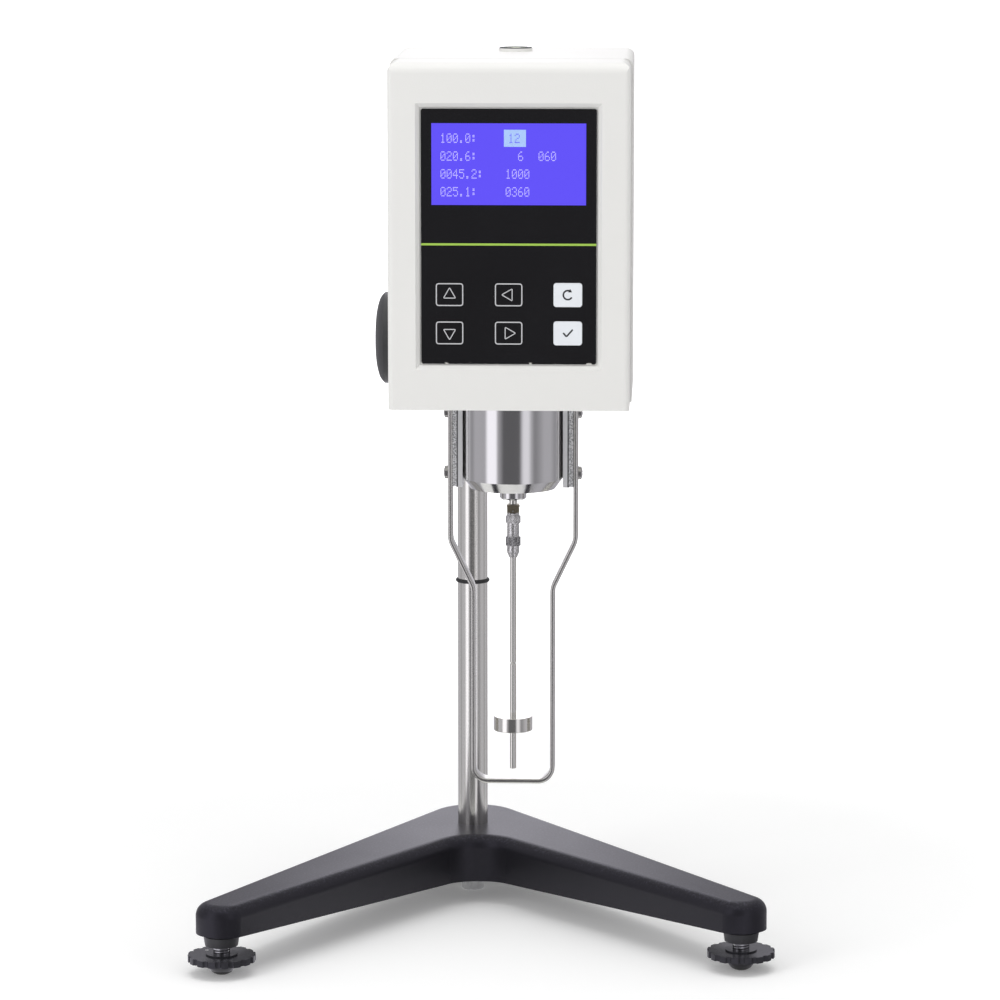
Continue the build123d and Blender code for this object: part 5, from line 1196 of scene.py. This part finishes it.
class VISCOMETER_OT_build_studio(bpy.types.Operator):
    """Pale floor, even light, soft lamps, round reflector and the camera"""
    bl_idname = "viscometer.build_studio"
    bl_label = "Build studio"

    def execute(self, context):
        studio = context.scene.viscometer_studio
        context.scene.view_settings.view_transform = "Standard"
        self.floor(context, studio)
        self.world(context, studio)
        for name, (place, extent) in LAMPS.items():
            self.lamp(context, name + "_lamp", place, extent, getattr(studio, name + "_watts"))
        self.cards(context, studio)
        self.camera(context, studio)
        return {"FINISHED"}

    def link_stage(self, context, name, surface, material):
        """Mesh that belongs to the studio and not to the part."""
        points, faces = surface
        mesh = bpy.data.meshes.new(name)
        mesh.from_pydata(points.tolist(), [], faces)
        mesh.materials.append(material)
        piece = bpy.data.objects.new(name, mesh)
        context.scene.collection.objects.link(piece)
        return piece

    def looked_at(self, tree):
        """1 for camera, glossy and transmission rays, 0 for the rest."""
        path = add_node(tree, "ShaderNodeLightPath").outputs
        seen = maths(tree, "ADD", path["Is Camera Ray"], path["Is Glossy Ray"])
        return maths(tree, "ADD", seen, path["Is Transmission Ray"], clamp=True)

    def floor(self, context, studio):
        """Floor that curves up into a backdrop: a profile of a line, a quarter turn and a line."""
        angle = np.linspace(0, np.pi / 2, 16)
        bend = np.stack([FLOOR_BACK + FLOOR_BEND * np.sin(angle),
                         FLOOR_BEND - FLOOR_BEND * np.cos(angle)], 1)
        profile = np.vstack([[-FLOOR_HALF, 0.0], bend, [FLOOR_BACK + FLOOR_BEND, FLOOR_TOP]])
        across = np.array([-FLOOR_HALF, FLOOR_HALF])
        grid = np.stack([np.tile(across, (len(profile), 1)),
                         np.tile(profile[:, :1], 2), np.tile(profile[:, 1:], 2)], -1)
        points, faces = grid.reshape(-1, 3), grid_faces(*grid.shape[:2], False, False)
        material = bpy.data.materials.new("floor_pale")
        material.use_nodes = True
        tree = material.node_tree
        shader = tree.nodes["Principled BSDF"]
        shader.inputs["Base Color"].default_value = rgba(studio.floor)
        shader.inputs["Roughness"].default_value = 0.9
        shader.inputs["Specular IOR Level"].default_value = 0.0
        where = add_node(tree, "ShaderNodeTexCoord").outputs["Object"]
        away = add_node(tree, "ShaderNodeVectorMath", {0: where}, operation="LENGTH")
        lift = ramp(tree, away.outputs["Value"], studio.floor_near, studio.floor_far,
                    studio.floor_lift)
        glow = add_node(tree, "ShaderNodeEmission",
                        {"Strength": maths(tree, "MULTIPLY", self.looked_at(tree), lift)})
        both = add_node(tree, "ShaderNodeAddShader", {0: shader.outputs[0], 1: glow.outputs[0]})
        tree.links.new(both.outputs[0], tree.nodes["Material Output"].inputs["Surface"])
        self.link_stage(context, "floor", (points, faces), material)

    def world(self, context, studio):
        """Even ambient light, white where the camera, gloss or glass looks past the floor."""
        world = bpy.data.worlds.new("studio_air")
        world.use_nodes = True
        context.scene.world = world
        tree = world.node_tree
        level = maths(tree, "MULTIPLY_ADD", self.looked_at(tree), 1.0 - studio.ambient,
                      studio.ambient)
        tree.links.new(level, tree.nodes["Background"].inputs["Strength"])
        tree.nodes["Background"].inputs["Color"].default_value = (1.0, 1.0, 1.0, 1.0)

    def lamp(self, context, name, place, extent, watts):
        """Rectangular soft lamp aimed at LAMP_TARGET, and not seen in reflections."""
        data = bpy.data.lights.new(name, "AREA")
        data.shape = "RECTANGLE"
        data.size, data.size_y = extent
        data.energy = watts
        lamp = bpy.data.objects.new(name, data)
        context.scene.collection.objects.link(lamp)
        lamp.visible_glossy = False
        lamp.location = place
        aim = Vector(LAMP_TARGET) - Vector(place)
        lamp.rotation_euler = aim.to_track_quat("-Z", "Y").to_euler()

    def cards(self, context, studio):
        """Round reflector, seen only by glossy rays: a strip of floor and an upright wall.

        Its points lie on circles about the column. The grey at a bearing is interpolated between
        the edges of the neighbouring cards and kept in the points' "tone" attribute.
        """
        cards = np.array(REFLECTOR_CARDS)
        bearing = np.arange(-180.0, 180.0, 1.0)
        tone = np.interp(bearing, cards[:, :2].ravel(), np.repeat(cards[:, 2], 2))
        angle = np.radians(bearing)[None]
        lift = 2 * MM
        reach = np.array([[studio.card_near], [studio.card_radius], [studio.card_radius]])
        height = np.array([[lift], [lift], [studio.card_height]])
        grid = np.stack([reach * np.sin(angle), -reach * np.cos(angle),
                         height * np.ones_like(angle)], -1)
        material = bpy.data.materials.new("card_cloth")
        material.use_nodes = True
        tree = material.node_tree
        tree.nodes.remove(tree.nodes["Principled BSDF"])
        grey = add_node(tree, "ShaderNodeAttribute", attribute_name="tone").outputs["Fac"]
        glow = add_node(tree, "ShaderNodeEmission",
                        {"Color": rgba(context.scene.viscometer_colours.cards),
                         "Strength": grey})
        tree.links.new(glow.outputs[0], tree.nodes["Material Output"].inputs["Surface"])
        ring = self.link_stage(context, "reflector_cards",
                               (grid.reshape(-1, 3), grid_faces(*grid.shape[:2], False, True)),
                               material)
        ring.data.attributes.new("tone", "FLOAT", "POINT").data.foreach_set(
            "value", np.tile(tone, len(reach)))
        for rays in ("camera", "diffuse", "shadow", "transmission"):
            setattr(ring, "visible_" + rays, False)

    def camera(self, context, studio):
        """Camera turned about the vertical and dipped, with no roll or shift."""
        data = bpy.data.cameras.new("studio_camera")
        data.lens = studio.camera_lens
        data.sensor_width = 36.0
        data.clip_start, data.clip_end = 0.05, 50.0
        camera = bpy.data.objects.new("studio_camera", data)
        context.scene.collection.objects.link(camera)
        camera.location = studio.camera_place
        turn, dip = studio.camera_turn, studio.camera_dip
        ahead = Vector((-np.sin(turn) * np.cos(dip), np.cos(turn) * np.cos(dip), -np.sin(dip)))
        camera.rotation_euler = ahead.to_track_quat("-Z", "Y").to_euler()
        context.scene.camera = camera


OPERATORS = (
    VISCOMETER_OT_finish_casing,
    VISCOMETER_OT_finish_panel,
    VISCOMETER_OT_add_display,
    VISCOMETER_OT_add_panel_print,
    VISCOMETER_OT_finish_level,
    VISCOMETER_OT_finish_stand,
    VISCOMETER_OT_finish_feet,
    VISCOMETER_OT_finish_carriage,
    VISCOMETER_OT_finish_drive,
    VISCOMETER_OT_finish_rotor,
    VISCOMETER_OT_finish_rear,
    VISCOMETER_OT_finish_works,
    VISCOMETER_OT_build_studio,
)


class VISCOMETER_PT_tools(bpy.types.Panel):
    """Buttons and settings of the viscometer's finishes"""
    bl_idname = "VISCOMETER_PT_tools"
    bl_label = "Viscometer"
    bl_space_type = "VIEW_3D"
    bl_region_type = "UI"
    bl_category = "Viscometer"

    def draw(self, context):
        for operator in OPERATORS:
            self.layout.operator(operator.bl_idname)
        for group in (*settings(context), context.scene.viscometer_studio):
            column = self.layout.column(align=True)
            for name in group.__annotations__:
                column.prop(group, name)


CLASSES = (ViscometerColours, ViscometerSizes, ViscometerStudio, *OPERATORS, VISCOMETER_PT_tools)


def register():
    for item in CLASSES:
        bpy.utils.register_class(item)
    bpy.types.Scene.viscometer_colours = PointerProperty(type=ViscometerColours)
    bpy.types.Scene.viscometer_sizes = PointerProperty(type=ViscometerSizes)
    bpy.types.Scene.viscometer_studio = PointerProperty(type=ViscometerStudio)


def unregister():
    del bpy.types.Scene.viscometer_studio
    del bpy.types.Scene.viscometer_sizes
    del bpy.types.Scene.viscometer_colours
    for item in reversed(CLASSES):
        bpy.utils.unregister_class(item)


def main():
    register()
    bpy.ops.viscometer.finish_casing()
    bpy.ops.viscometer.finish_panel()
    bpy.ops.viscometer.add_display()
    bpy.ops.viscometer.add_panel_print()
    bpy.ops.viscometer.finish_level()
    bpy.ops.viscometer.finish_stand()
    bpy.ops.viscometer.finish_feet()
    bpy.ops.viscometer.finish_carriage()
    bpy.ops.viscometer.finish_drive()
    bpy.ops.viscometer.finish_rotor()
    bpy.ops.viscometer.finish_rear()
    bpy.ops.viscometer.finish_works()
    bpy.ops.viscometer.build_studio()


if __name__ == "__main__":
    main()
